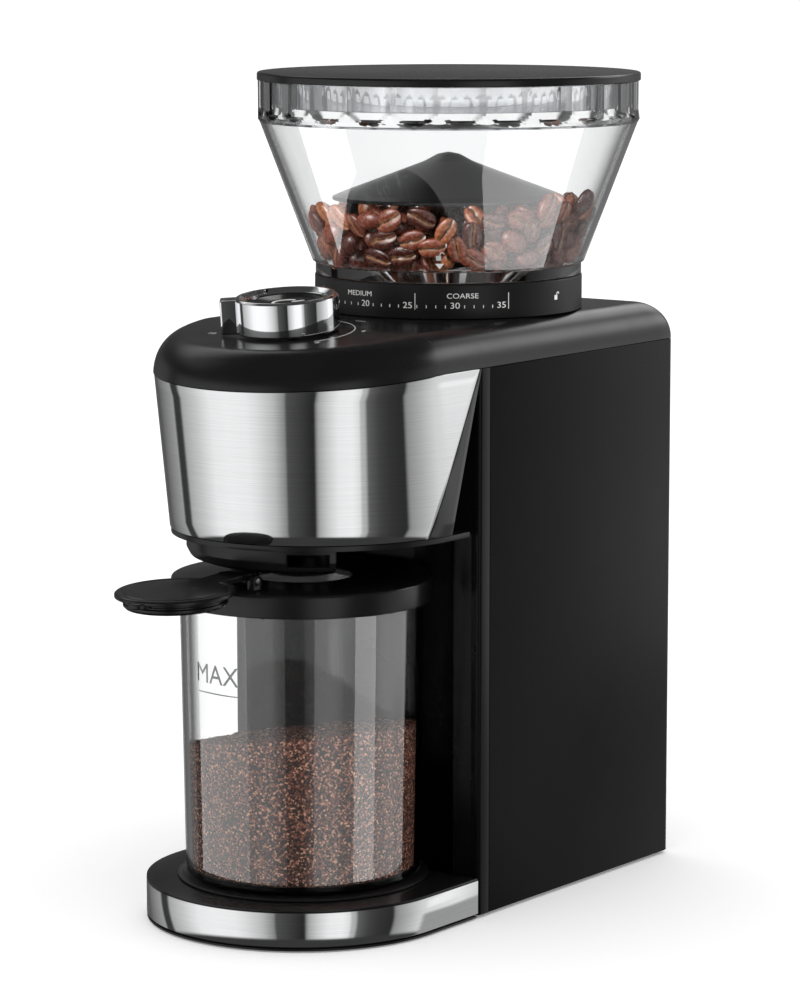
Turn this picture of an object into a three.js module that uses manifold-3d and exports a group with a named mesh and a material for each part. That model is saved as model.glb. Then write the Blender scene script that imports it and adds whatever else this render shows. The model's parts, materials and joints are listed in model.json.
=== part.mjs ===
// Burr coffee grinder. Millimetres, +Z up, the front faces -Y.
// The origin is on the surface it stands on, under the middle of the whole machine.
import * as THREE from 'three';
import { mergeVertices } from 'three/addons/utils/BufferGeometryUtils.js';
import Module from 'manifold-3d';

const wasm = await Module();
wasm.setup();

// ---- Driving dimensions ----
const GAP = 0.3;              // clearance between pieces that touch
const DEG = Math.PI / 180;
const HALF_WIDTH = 63;        // half of the body's width
const BURR_Y = 63;            // axis of hopper, burrs and motor
const JAR_Y = -37;            // axis of container, spout and the base's round nose
const HEAD_Y = -30;           // centre of the head's round nose
const STRIP_FRONT = -3.6;     // front of the tower's side strips
const STRIP_BACK = 3.3;       // where the strips meet the rear housing
const BACK_Y = 139;           // back of the tower
const BACK_CORNER = 4;        // rounding of the tower's two rear edges
const WALL = 2.5;             // plastic wall
const PLATE_TOP = 4;
const PLATE_BOTTOM = 1.4;     // underside of the base plate, above the feet's soles
const BASE_TOP = 16.9;
const SEAM = 222.3;           // bottom edge of the top cover
const SEAM_DROP = 3.9 * DEG;  // the seam dips forward of the head's centre
const DECK = 237.7;           // level part of the top cover
const DECK_TILT = 5.3 * DEG;  // the deck slopes forward of the head's centre
const FILLET_IN = 12;         // top cover's edge rounding, sideways
const FILLET_DOWN = 15;       // and downward
const HEAD_BOTTOM = 157.9;    // lower edge of the steel fascia
const HEAD_LOW_HALF = 61.4;   // half width there
const HEAD_LOW_Y = -18.75;    // centre of the lower outline
const HEAD_LOW_NOSE = 67.7;   // its reach forward of that centre
const FASCIA_BACK = -34;      // rear end of the fascia at the bottom
const CHEEK_BACK = -20;       // rear end of the head at the bottom
const STEEL = 0.8;            // sheet thickness
const RECESS_R = 60.5;        // concave front of the tower, round the container
const SHROUD_R = 50.4;
const SHROUD_BOTTOM = 145;
const JAR_BOTTOM = 18.3;
const JAR_TOP = 134.5;
const LID_R = 52.2;
const LID_BOTTOM = 129.4;
const LID_TOP = 138.7;
const LID_HOLE_R = 20;
const CAP_HINGE_Y = -40;      // from the container's axis
const CAP_HINGE_Z = 142;
const CAP_REACH = 39.3;       // from hinge to cap centre
const CAP_R = 23.4;
const CAP_TILT = 2.5 * DEG;
const NOZZLE_R = 13;
const NOZZLE_BOTTOM = 139.6;
const CHUTE_LOW_Z = 166;      // chute's centre line at the nozzle
const CHUTE_HIGH_Z = 194;     // and at the burr chamber
const COLLAR_R = 55.3;
const COLLAR_TOP = 251.9;
const HOPPER_TOP = 331.2;
const HOPPER_LID_R = 79;
const HOPPER_LID_TOP = 335;
const KNOB_Y = -45.2;
const KNOB_R = 20.5;
const LUG_ANGLE = 216 * DEG;
const GEAR_MODULE = 1.25;
const MOTOR_PINION_TEETH = 8;
const FIRST_GEAR_TEETH = 32;
const SECOND_PINION_TEETH = 10;
const OUTPUT_GEAR_TEETH = 30;
const MOTOR_SHAFT_R = 2.5;
const BURR_SHAFT_R = 4;
const AXLE_R = 3;
const BEARING_R = 11;
const SCREW_R = 1.5;
const STUD_R = 3;             // of each foot
const HINGE_PIN_R = 1.2;
const HINGE_HALF = 5.4;       // half width of the cap's knuckle
const HINGE_EAR = 3.2;        // thickness of each ear beside it
const GEARBOX_BOTTOM = 135;
const GEARBOX_SEAM = 168;
const LAYSHAFT_Y = GEAR_MODULE * (MOTOR_PINION_TEETH + FIRST_GEAR_TEETH) / 2;
const SIDES = 24;             // facets of a full round
const FINE_SIDES = 28;        // and of a large one
const COARSE_SIDES = 12;      // and of a small one

// ---- Materials ----
const paint = (color, roughness, metalness = 0) =>
  new THREE.MeshStandardMaterial({ color, roughness, metalness });
const BLACK = paint(0x17181a, 0.45);
const GLOSS_BLACK = paint(0x1d1e20, 0.15);
const BRUSHED = paint(0xbcbec0, 0.35, 1);
const CHROME = paint(0xd8dadc, 0.08, 1);
const MACHINED = paint(0x9a9ca0, 0.4, 1);
const CLEAR = paint(0xe6edf0, 0.05);
const RUBBER = paint(0x202020, 0.9);
const CASTING = paint(0xa8a9ab, 0.6, 1);
const NYLON = paint(0xe6e2d6, 0.5);
const BOARD = paint(0x1f5a34, 0.5);
const COPPER = paint(0xb0703a, 0.4, 1);
const FERRITE = paint(0x3a3a3c, 0.8);

// ---- Solids from three.js geometry ----
function solid(geometry) {
  geometry.deleteAttribute('normal');
  geometry.deleteAttribute('uv');
  const merged = mergeVertices(geometry, 1e-4);
  const corners = merged.index.array;
  const triangles = [];
  for (let i = 0; i < corners.length; i += 3) {
    const [a, b, c] = corners.slice(i, i + 3);
    if (a !== b && b !== c && c !== a) triangles.push(a, b, c);
  }
  const vertProperties = new Float32Array(merged.attributes.position.array);
  const build = (order) =>
    new wasm.Manifold(new wasm.Mesh({ numProp: 3, vertProperties, triVerts: new Uint32Array(order) }));
  const made = build(triangles);
  return made.volume() > 0 ? made : build(triangles.reverse());
}

function geometryOf(made) {
  const { vertProperties, triVerts } = made.getMesh();
  const geometry = new THREE.BufferGeometry();
  geometry.setAttribute('position', new THREE.BufferAttribute(vertProperties, 3));
  geometry.setIndex(new THREE.BufferAttribute(triVerts, 1));
  geometry.computeVertexNormals();
  return geometry;
}

function block(x0, x1, y0, y1, z0, z1) {
  const box = new THREE.BoxGeometry(x1 - x0, y1 - y0, z1 - z0);
  return solid(box.translate((x0 + x1) / 2, (y0 + y1) / 2, (z0 + z1) / 2));
}

// A plan outline raised from z0 to z1.
function raised(shape, z0, z1, options = {}) {
  const depth = z1 - z0;
  const geometry = new THREE.ExtrudeGeometry(shape, {
    depth, bevelEnabled: false, curveSegments: 9, ...options,
  });
  return geometry.translate(0, 0, z0);
}

// A side outline, given as [y, z] points, run across from -half to half in X.
function acrossX(points, half) {
  const shape = new THREE.Shape(points.map(([y, z]) => new THREE.Vector2(y, z)));
  const turn = new THREE.Matrix4().makeBasis(
    new THREE.Vector3(0, 1, 0), new THREE.Vector3(0, 0, 1), new THREE.Vector3(1, 0, 0));
  return solid(raised(shape, -half, half).applyMatrix4(turn));
}

// A profile of [radius, z] points turned about the vertical line through x, y.
function turned(profile, x = 0, y = 0, sides = SIDES) {
  const points = profile.map(([r, z]) => new THREE.Vector2(r, z));
  const onAxis = profile[0][0] === 0 && profile.at(-1)[0] === 0;
  if (!onAxis) points.push(points[0].clone());
  const geometry = new THREE.LatheGeometry(points, sides);
  return solid(geometry.rotateX(Math.PI / 2).translate(x, y, 0));
}

const drum = (r, z0, z1, x = 0, y = 0, sides = SIDES) =>
  turned([[0, z0], [r, z0], [r, z1], [0, z1]], x, y, sides);
const ring = (rIn, rOut, z0, z1, x = 0, y = 0, sides = SIDES) =>
  turned([[rIn, z0], [rOut, z0], [rOut, z1], [rIn, z1]], x, y, sides);
const joined = (pieces) => pieces.reduce((sum, piece) => sum.add(piece));

// The body's plan: a round nose, straight sides and a square back with small corners.
function uShape(half, noseY, backY, corner = 0) {
  const shape = new THREE.Shape();
  shape.moveTo(half, noseY);
  shape.absarc(0, noseY, half, 0, -Math.PI, true);
  if (corner) {
    shape.absarc(-half + corner, backY - corner, corner, Math.PI, Math.PI / 2, true);
    shape.absarc(half - corner, backY - corner, corner, Math.PI / 2, 0, true);
  } else {
    shape.lineTo(-half, backY);
    shape.lineTo(half, backY);
  }
  shape.closePath();
  return shape;
}

function star(teeth, root, tip, rootShare, tipShare, turn = 0) {
  const points = [];
  const step = 2 * Math.PI / teeth;
  const place = (r, angle) => points.push(new THREE.Vector2(r * Math.cos(angle), r * Math.sin(angle)));
  for (let i = 0; i < teeth; i += 1) {
    const middle = turn + i * step;
    place(root, middle - rootShare * step);
    place(tip, middle - tipShare * step);
    place(tip, middle + tipShare * step);
    place(root, middle + rootShare * step);
  }
  return new THREE.Shape(points);
}

// A spur gear with a tooth centred on the angle `turn`, and running backlash.
function gear(teeth, turn, z0, z1, boreR) {
  const pitch = teeth * GEAR_MODULE / 2;
  const outline = star(teeth, pitch - 1.15 * GEAR_MODULE, pitch + 0.85 * GEAR_MODULE, 0.27, 0.11, turn);
  return solid(raised(outline, z0, z1)).subtract(drum(boreR, z0 - 1, z1 + 1, 0, 0, COARSE_SIDES));
}

const machine = new THREE.Group();

function piece(name, made, material, group = machine) {
  const mesh = new THREE.Mesh(geometryOf(made), material);
  mesh.name = name;
  group.add(mesh);
}

// ---- Seam, deck and head surfaces shared by the casing ----
const seamFall = Math.tan(SEAM_DROP);
const FRONT = -120;
const REAR = 160;
const seamZ = (y) => SEAM - seamFall * Math.max(0, HEAD_Y - y);
const aboveSeam = acrossX(
  [[FRONT, seamZ(FRONT)], [HEAD_Y, SEAM], [REAR, SEAM], [REAR, 300], [FRONT, 300]], 100);
const belowSeam = acrossX(
  [[FRONT, 100], [REAR, 100], [REAR, SEAM - GAP], [HEAD_Y, SEAM - GAP], [FRONT, seamZ(FRONT) - GAP]], 100);

// The rounded block under the deck; `inset` shrinks it on every side.
function deckBlock(inset) {
  const half = HALF_WIDTH - FILLET_IN - inset;
  const outline = uShape(half, HEAD_Y, REAR, 3);
  const options = {
    bevelEnabled: true,
    bevelThickness: FILLET_DOWN,
    bevelSize: FILLET_IN,
    bevelSegments: 3,
    curveSegments: 7,
  };
  const depth = 40;
  const make = () =>
    raised(outline, 0, depth, options).translate(0, 0, DECK - inset - FILLET_DOWN - depth);
  const level = solid(make());
  const sloped = solid(make().translate(0, -HEAD_Y, -DECK).rotateX(DECK_TILT).translate(0, HEAD_Y, DECK));

  const back = BACK_Y - inset;
  const top = DECK - inset;
  const shoulder = [90, 60, 30].map((angle) => [
    back - FILLET_IN * (1 - Math.sin(angle * DEG)),
    top - FILLET_DOWN * (1 - Math.cos(angle * DEG)),
  ]);
  const pastEdge = [back - FILLET_IN - 3, top + 1];
  const rearLimit = acrossX([[FRONT, 150], [back, 150], ...shoulder, pastEdge, [FRONT, 260]], 100);
  return level
    .intersect(sloped)
    .intersect(rearLimit)
    .subtract(cornerBite(-1, inset))
    .subtract(cornerBite(1, inset));
}

// What is cut from the block's rear corners, so that they follow the rounded edges of the tower below.
function cornerBite(side, inset) {
  const depth = BACK_CORNER * (1 - Math.SQRT1_2);
  const made = geometryOf(block(-20, 20, 0, 20, 150, 260)).rotateZ(-side * 45 * DEG);
  return solid(made.translate(side * (HALF_WIDTH - inset - depth), BACK_Y - inset - depth, 0));
}

// The head's block, which narrows downward; `inset` shrinks it.
function headBlock(inset, z0, z1) {
  const geometry = raised(uShape(HALF_WIDTH - inset, HEAD_Y, 4), z0, z1);
  const spots = geometry.attributes.position;
  for (let i = 0; i < spots.count; i += 1) {
    const down = (SEAM - spots.getZ(i)) / (SEAM - HEAD_BOTTOM);
    const lowY = HEAD_LOW_Y + (spots.getY(i) - HEAD_Y) * HEAD_LOW_NOSE / HALF_WIDTH;
    spots.setX(i, spots.getX(i) * (1 + down * (HEAD_LOW_HALF / HALF_WIDTH - 1)));
    spots.setY(i, spots.getY(i) + down * (lowY - spots.getY(i)));
  }
  return solid(geometry);
}

// Everything in front of a rear edge that slants from y = topY at the seam to lowY at the bottom.
const inFrontOf = (topY, lowY) =>
  acrossX([[FRONT, HEAD_BOTTOM], [lowY, HEAD_BOTTOM], [topY, SEAM + 1], [FRONT, SEAM + 1]], 100);

// ---- Base ----
const baseSolid = (inset, z0, z1) => {
  const nose = solid(raised(uShape(HALF_WIDTH - STEEL - GAP - inset, JAR_Y, STRIP_FRONT - 1), z0, z1));
  return nose.add(block(-60.2 + inset, 60.2 - inset, -20, BACK_Y - 2.8 - inset, z0, z1));
};
const SCREW_SPOTS = [[-44, -28], [44, -28], [-44, 124], [44, 124]];
const FOOT_SPOTS = {
  front_left: [-36, -66],
  front_right: [36, -66],
  rear_left: [-48, 112],
  rear_right: [48, 112],
};

function makeBase() {
  const lip = solid(raised(uShape(HALF_WIDTH, JAR_Y, STRIP_FRONT - 1), 16.2, BASE_TOP));
  const ceiling = BASE_TOP - WALL;
  let cover = baseSolid(0, PLATE_BOTTOM + GAP, BASE_TOP).add(lip).subtract(baseSolid(WALL, 0, ceiling));
  let plate = baseSolid(WALL + GAP, PLATE_BOTTOM, PLATE_TOP);
  for (const [x, y] of SCREW_SPOTS) {
    cover = cover.add(ring(SCREW_R + 0.4, 5, PLATE_TOP + GAP, ceiling + 0.5, x, y, COARSE_SIDES));
    plate = plate
      .subtract(drum(3.6, 0, 3, x, y, COARSE_SIDES))
      .subtract(drum(SCREW_R + 0.4, 0, PLATE_TOP + 1, x, y, COARSE_SIDES));
  }
  for (const [x, y] of Object.values(FOOT_SPOTS)) {
    plate = plate.subtract(drum(STUD_R + 0.4, 0, PLATE_TOP + 1, x, y, COARSE_SIDES));
  }
  piece('base_cover', cover, BLACK);
  piece('base_plate', plate, BLACK);
  SCREW_SPOTS.forEach(([x, y], i) => {
    const profile = [[0, 1.6], [3.2, 1.6], [3.2, 2.3], [SCREW_R, 2.7], [SCREW_R, 12], [0, 13]];
    piece(`case_screw_${i + 1}`, turned(profile, x, y, COARSE_SIDES), MACHINED);
  });
  const soleTop = PLATE_BOTTOM - GAP;
  for (const [name, [x, y]] of Object.entries(FOOT_SPOTS)) {
    const profile = [[0, 0], [8, 0], [8, soleTop], [STUD_R, soleTop], [STUD_R, 6], [0, 6]];
    piece(`foot_${name}`, turned(profile, x, y, COARSE_SIDES), RUBBER);
  }
  const smooth = { curveSegments: 14 };
  const bandInside = solid(raised(uShape(HALF_WIDTH - STEEL, JAR_Y, 10), 0, 20, smooth));
  const band = solid(raised(uShape(HALF_WIDTH, JAR_Y, STRIP_FRONT - GAP), PLATE_BOTTOM, 15.9, smooth));
  piece('base_trim_band', band.subtract(bandInside), BRUSHED);
  piece('container_seat', ring(30, 50.5, BASE_TOP + GAP, JAR_BOTTOM - GAP, 0, JAR_Y), RUBBER);
}

// ---- Tower ----
function makeTower() {
  const back = new THREE.Shape();
  const corner = BACK_CORNER;
  const inner = HALF_WIDTH - WALL;
  back.moveTo(HALF_WIDTH, STRIP_BACK + GAP);
  back.absarc(HALF_WIDTH - corner, BACK_Y - corner, corner, 0, Math.PI / 2, false);
  back.absarc(-HALF_WIDTH + corner, BACK_Y - corner, corner, Math.PI / 2, Math.PI, false);
  back.lineTo(-HALF_WIDTH, STRIP_BACK + GAP);
  back.lineTo(-inner, STRIP_BACK + GAP);
  back.lineTo(-inner, BACK_Y - WALL);
  back.lineTo(inner, BACK_Y - WALL);
  back.lineTo(inner, STRIP_BACK + GAP);
  let shell = solid(raised(back, PLATE_BOTTOM, SEAM - GAP, { curveSegments: 5 }));
  const ventCount = 9;
  const ventPitch = 7;
  for (let i = 0; i < ventCount; i += 1) {
    const x = (i - (ventCount - 1) / 2) * ventPitch;
    shell = shell.subtract(block(x - 1.5, x + 1.5, BACK_Y - 5, BACK_Y + 1, 62, 104));
  }
  const cordX = -35;
  const cordZ = 27;
  const inlet = new THREE.CylinderGeometry(5.6, 5.6, 10, 20).translate(cordX, BACK_Y, cordZ);
  shell = shell.subtract(solid(inlet));
  piece('rear_housing', shell, BLACK);

  const bushing = turned([[3.4, 0], [7.4, 0], [7, 2.4], [3.4, 2.4]], 0, 0, COARSE_SIDES)
    .add(turned([[3.4, -6], [5.3, -6], [5.3, 0.2], [3.4, 0.2]], 0, 0, COARSE_SIDES));
  const turnBack = geometryOf(bushing).rotateX(-Math.PI / 2).translate(cordX, BACK_Y + GAP, cordZ);
  piece('cord_bushing', solid(turnBack), RUBBER);

  const edge = Math.atan2(STRIP_FRONT - 2.5 - JAR_Y, 52);
  const front = new THREE.Shape();
  front.moveTo(HALF_WIDTH, STRIP_BACK);
  front.lineTo(HALF_WIDTH, -0.8);
  front.quadraticCurveTo(HALF_WIDTH, STRIP_FRONT + 0.3, HALF_WIDTH - 3, STRIP_FRONT);
  front.absarc(0, JAR_Y, RECESS_R, edge, Math.PI - edge, false);
  front.lineTo(-HALF_WIDTH + 3, STRIP_FRONT);
  front.quadraticCurveTo(-HALF_WIDTH, STRIP_FRONT + 0.3, -HALF_WIDTH, -0.8);
  front.lineTo(-HALF_WIDTH, STRIP_BACK);
  front.lineTo(-inner, STRIP_BACK);
  front.lineTo(-inner, -0.7);
  front.absarc(0, JAR_Y, RECESS_R + WALL, Math.PI - edge, edge, true);
  front.lineTo(inner, -0.7);
  front.lineTo(inner, STRIP_BACK);
  const strips = solid(raised(front, PLATE_BOTTOM, SEAM - GAP, { curveSegments: 12 }));
  const belowBase = block(-60.5, 60.5, -30, 60, 0, BASE_TOP + GAP);
  const underHead = inFrontOf(-1.9, CHEEK_BACK + GAP);
  const chuteWindow = block(-13, 13, 10, 40, 180, 203);
  let panel = strips.subtract(belowBase).subtract(underHead).subtract(chuteWindow);
  for (const side of [-1, 1]) {
    const x = side * 51.6;
    panel = panel.add(block(x - 1.3, x + 1.3, -24, -3.5, HEAD_BOTTOM + GAP, 214));
  }
  piece('front_panel', panel, BLACK);
}

// ---- Head ----
function makeHead() {
  const collarHole = drum(50, 200, 260, 0, BURR_Y);
  const shaftHole = drum(4.2, 200, 260, 0, KNOB_Y, 16);
  const cover = deckBlock(0).intersect(aboveSeam).subtract(deckBlock(WALL));
  piece('top_cover', cover.subtract(collarHole).subtract(shaftHole), BLACK);

  const fasciaZone = inFrontOf(-3, FASCIA_BACK);
  const outer = headBlock(0, 150, 230).intersect(belowSeam);
  piece('steel_fascia', outer.intersect(fasciaZone).subtract(headBlock(STEEL, 149, 231)), BRUSHED);
  const pocket = inFrontOf(-3 + GAP, FASCIA_BACK + GAP).subtract(headBlock(STEEL + GAP, 149, 231));
  const housing = outer.intersect(inFrontOf(-2.2, CHEEK_BACK)).subtract(headBlock(3.3, 149, 231));
  piece('head_housing', housing.subtract(pocket), GLOSS_BLACK);

  const clearOfTower = block(-80, 80, STRIP_FRONT - 4, 40, 150, 160)
    .subtract(drum(RECESS_R - GAP, 149, 161, 0, JAR_Y, 48));
  const lower = headBlock(0.4, 155.5, HEAD_BOTTOM - GAP)
    .add(block(-50, 50, -10, 30, 155.5, HEAD_BOTTOM - GAP))
    .subtract(clearOfTower)
    .subtract(drum(NOZZLE_R + GAP, 150, 160, 0, JAR_Y));
  piece('head_bottom_cover', lower, BLACK);

  const bowl = turned([
    [12, SHROUD_BOTTOM], [44, SHROUD_BOTTOM], [48.6, 146.6], [SHROUD_R, 150], [SHROUD_R, 155.2],
    [SHROUD_R - WALL, 155.2], [SHROUD_R - WALL, 151], [46.5, 148.4], [43.5, 147.2], [12, 147.2],
  ], 0, HEAD_Y, 40);
  const sectorFrom = -200 * DEG;
  const sectorTo = -42 * DEG;
  const wedge = (from, to, z0, z1) => {
    const shape = new THREE.Shape();
    shape.moveTo(0, 0);
    shape.absarc(0, 0, 80, from, to, false);
    shape.closePath();
    return solid(raised(shape, z0, z1).translate(0, HEAD_Y, 0));
  };
  const sideWindow = wedge(-64 * DEG, -45 * DEG, 148.4, 153.4).subtract(drum(45, 140, 160, 0, HEAD_Y));
  const shroud = bowl
    .intersect(wedge(sectorFrom, sectorTo, 140, 160))
    .subtract(sideWindow)
    .subtract(drum(NOZZLE_R + GAP, 140, 160, 0, JAR_Y));
  piece('spout_shroud', shroud, BLACK);

  const rise = (CHUTE_HIGH_Z - CHUTE_LOW_Z) / (30 - JAR_Y);
  const topEnd = 26.9;        // rear end, just short of the burr chamber
  const line = (y, up) => [y, CHUTE_LOW_Z + (y - JAR_Y) * rise + up];
  const tunnel = (up, half, low, high) =>
    acrossX([line(low, -up), line(high, -up), line(high, up), line(low, up)], half);
  const chuteOuter = tunnel(7.5, 11, JAR_Y, topEnd).add(drum(NOZZLE_R, NOZZLE_BOTTOM, 179, 0, JAR_Y, 32));
  const chuteInner = tunnel(5.8, 9, JAR_Y, topEnd + 1).add(drum(NOZZLE_R - 1.8, 130, 177, 0, JAR_Y, 32));
  piece('grounds_chute', chuteOuter.subtract(chuteInner), BLACK);
}

// ---- Container, with its cap lying open in front ----
function makeContainer() {
  const container = new THREE.Group();
  container.position.set(0, JAR_Y, 0);
  machine.add(container);
  piece('container_jar', turned([
    [0, JAR_BOTTOM], [45.4, JAR_BOTTOM], [47, 19.9], [48.8, LID_BOTTOM], [48.8, JAR_TOP],
    [46.6, JAR_TOP], [46.6, LID_BOTTOM], [44.8, 22], [43.4, 20.7], [0, 20.7],
  ], 0, 0, 28), CLEAR, container);
  const lid = turned([
    [LID_HOLE_R, LID_TOP - 2.4], [46, LID_TOP - 2.4], [46, JAR_TOP + GAP], [49.2, JAR_TOP + GAP],
    [49.2, LID_BOTTOM], [LID_R, LID_BOTTOM], [LID_R, LID_TOP - 0.8], [LID_R - 0.8, LID_TOP],
    [LID_HOLE_R, LID_TOP],
  ], 0, 0, 28);
  const earMiddle = HINGE_HALF + 0.6 + HINGE_EAR / 2;
  const [earBack, earFront] = [CAP_HINGE_Y + 2.6, CAP_HINGE_Y - 2.6];
  const ears = [-earMiddle, earMiddle].map((x) =>
    block(x - HINGE_EAR / 2, x + HINGE_EAR / 2, earFront, earBack, LID_TOP - 1, CAP_HINGE_Z + 2.2));
  const along = (r, half) => new THREE.CylinderGeometry(r, r, 2 * half, 8)
    .rotateZ(Math.PI / 2).translate(0, CAP_HINGE_Y, CAP_HINGE_Z);
  const pinHole = solid(along(HINGE_PIN_R + GAP, 12));
  piece('container_lid', joined([lid, ...ears]).subtract(pinHole), BLACK, container);
  piece('cap_hinge_pin', solid(along(HINGE_PIN_R, 9.4)), MACHINED, container);

  const cap = new THREE.Group();
  cap.position.set(0, CAP_HINGE_Y, CAP_HINGE_Z);
  cap.rotation.x = CAP_TILT;
  container.add(cap);
  const top = 145 - CAP_HINGE_Z;
  const plug = LID_HOLE_R + 0.2;
  const disc = turned([
    [0, top - 6.2], [plug - 1, top - 6.2], [plug, top - 5.2], [plug, top - 2],
    [CAP_R, top - 1.8], [CAP_R, top - 0.5], [CAP_R - 0.7, top], [0, top],
  ], 0, -CAP_REACH, 24);
  const arm = block(-HINGE_HALF, HINGE_HALF, -CAP_REACH + 15, -1.5, top - 2.4, top);
  const rod = (r, length, sides) =>
    solid(new THREE.CylinderGeometry(r, r, length, sides).rotateZ(Math.PI / 2));
  const knuckle = rod(2.8, 2 * HINGE_HALF, 16);
  const tab = drum(4.6, top - 3.2, top - 1, 0, -CAP_REACH - CAP_R + 2.3, 20);
  const bore = rod(HINGE_PIN_R + GAP, 20, 12);
  piece('flip_cap', joined([disc, arm, knuckle, tab]).subtract(bore), BLACK, cap);
}

// ---- Knob and start button, on the sloping deck ----
class Helix extends THREE.Curve {
  constructor(radius, z0, z1, turns) {
    super();
    Object.assign(this, { radius, z0, z1, turns });
  }

  getPoint(t, target = new THREE.Vector3()) {
    const angle = 2 * Math.PI * this.turns * t;
    const z = this.z0 + (this.z1 - this.z0) * t;
    return target.set(this.radius * Math.cos(angle), this.radius * Math.sin(angle), z);
  }
}

function makeKnob() {
  const knob = new THREE.Group();
  knob.position.set(0, KNOB_Y, DECK - Math.tan(DECK_TILT) * (HEAD_Y - KNOB_Y));
  knob.rotation.x = DECK_TILT;
  machine.add(knob);
  const skirt = turned([
    [3.5, 0.8], [20, 0.8], [KNOB_R, 1.4], [KNOB_R, 14], [19.7, 14.8], [17.8, 14.8],
    [16.4, 13.4], [16.4, 3.2], [3.5, 3.2],
  ]);
  const lug = geometryOf(block(18, 26.2, -4.5, 4.5, 0.8, 14.3)).rotateZ(LUG_ANGLE);
  piece('timer_knob', skirt.add(solid(lug).subtract(drum(18.5, 0, 15))), CHROME, knob);
  piece('knob_shaft', ring(2.3, 3.2, -13, 3.2, 0, 0, COARSE_SIDES), MACHINED, knob);
  const button = turned([
    [0, -11.5], [1.9, -11.5], [1.9, 7.6], [14.6, 7.6], [16.1, 8.6], [16.1, 12.4],
    [15, 12.9], [9, 11.9], [0, 11.5],
  ], 0, 0, 24);
  piece('start_button', button, GLOSS_BLACK, knob);
  const wire = new THREE.Shape();
  wire.absarc(0, 0, 0.45, 0, 2 * Math.PI, false);
  const spring = new THREE.ExtrudeGeometry(wire, {
    steps: 28, bevelEnabled: false, curveSegments: 2, extrudePath: new Helix(7, 4.1, 6.7, 2.5),
  });
  piece('button_spring', solid(spring), MACHINED, knob);
  const encoder = block(-12, 12, -12, 12, -17, -4).subtract(drum(3.8, -14.5, 0, 0, 0, COARSE_SIDES));
  piece('timer_encoder', encoder, BLACK, knob);
}

// ---- Everything on the burr axis ----
const drive = new THREE.Group();
drive.position.set(0, BURR_Y, 0);
machine.add(drive);

function makeHopper() {
  piece('scale_collar', turned([
    [50.6, DECK + GAP], [COLLAR_R, DECK + GAP], [COLLAR_R, 251.3], [54.7, COLLAR_TOP], [50.6, COLLAR_TOP],
  ], 0, 0, FINE_SIDES), BLACK, drive);
  piece('adjusting_ring', ring(33.2, 49.4, 236.6, 243), NYLON, drive);
  piece('hopper_shell', turned([
    [22, 241.6], [24.5, 241.6], [24.5, 243.3], [49.2, 243.3], [49.2, 252.2], [55, 252.2], [55, 256.8],
    [56.2, 257.4], [77.9, 316], [78.6, 317], [78.6, HOPPER_TOP], [76.2, HOPPER_TOP], [76.2, 317],
    [53.6, 257.6], [22, 245.4],
  ], 0, 0, FINE_SIDES), CLEAR, drive);
  const hat = turned([
    [0, 303.9], [4.5, 303], [10, 299.9], [44.5, 286.3], [48.1, 284.6], [48.1, 283.2], [46.6, 283.2],
    [43.6, 284.4], [9, 298], [0, 301.4],
  ]);
  const legs = [90, 210, 330].map((angle) => {
    const x = 40 * Math.cos(angle * DEG);
    const y = 40 * Math.sin(angle * DEG);
    return drum(2.4, 253.4, 286.4, x, y, 8);
  });
  piece('bean_deflector', joined([hat, ...legs]), GLOSS_BLACK, drive);
  piece('hopper_lid', turned([
    [0, HOPPER_TOP + GAP], [72.6, HOPPER_TOP + GAP], [72.6, 321.1], [74.8, 321.1], [74.8, HOPPER_TOP + GAP],
    [HOPPER_LID_R, HOPPER_TOP + GAP], [HOPPER_LID_R, 334.2], [78.2, HOPPER_LID_TOP], [0, HOPPER_LID_TOP],
  ], 0, 0, FINE_SIDES), BLACK, drive);
}

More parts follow.
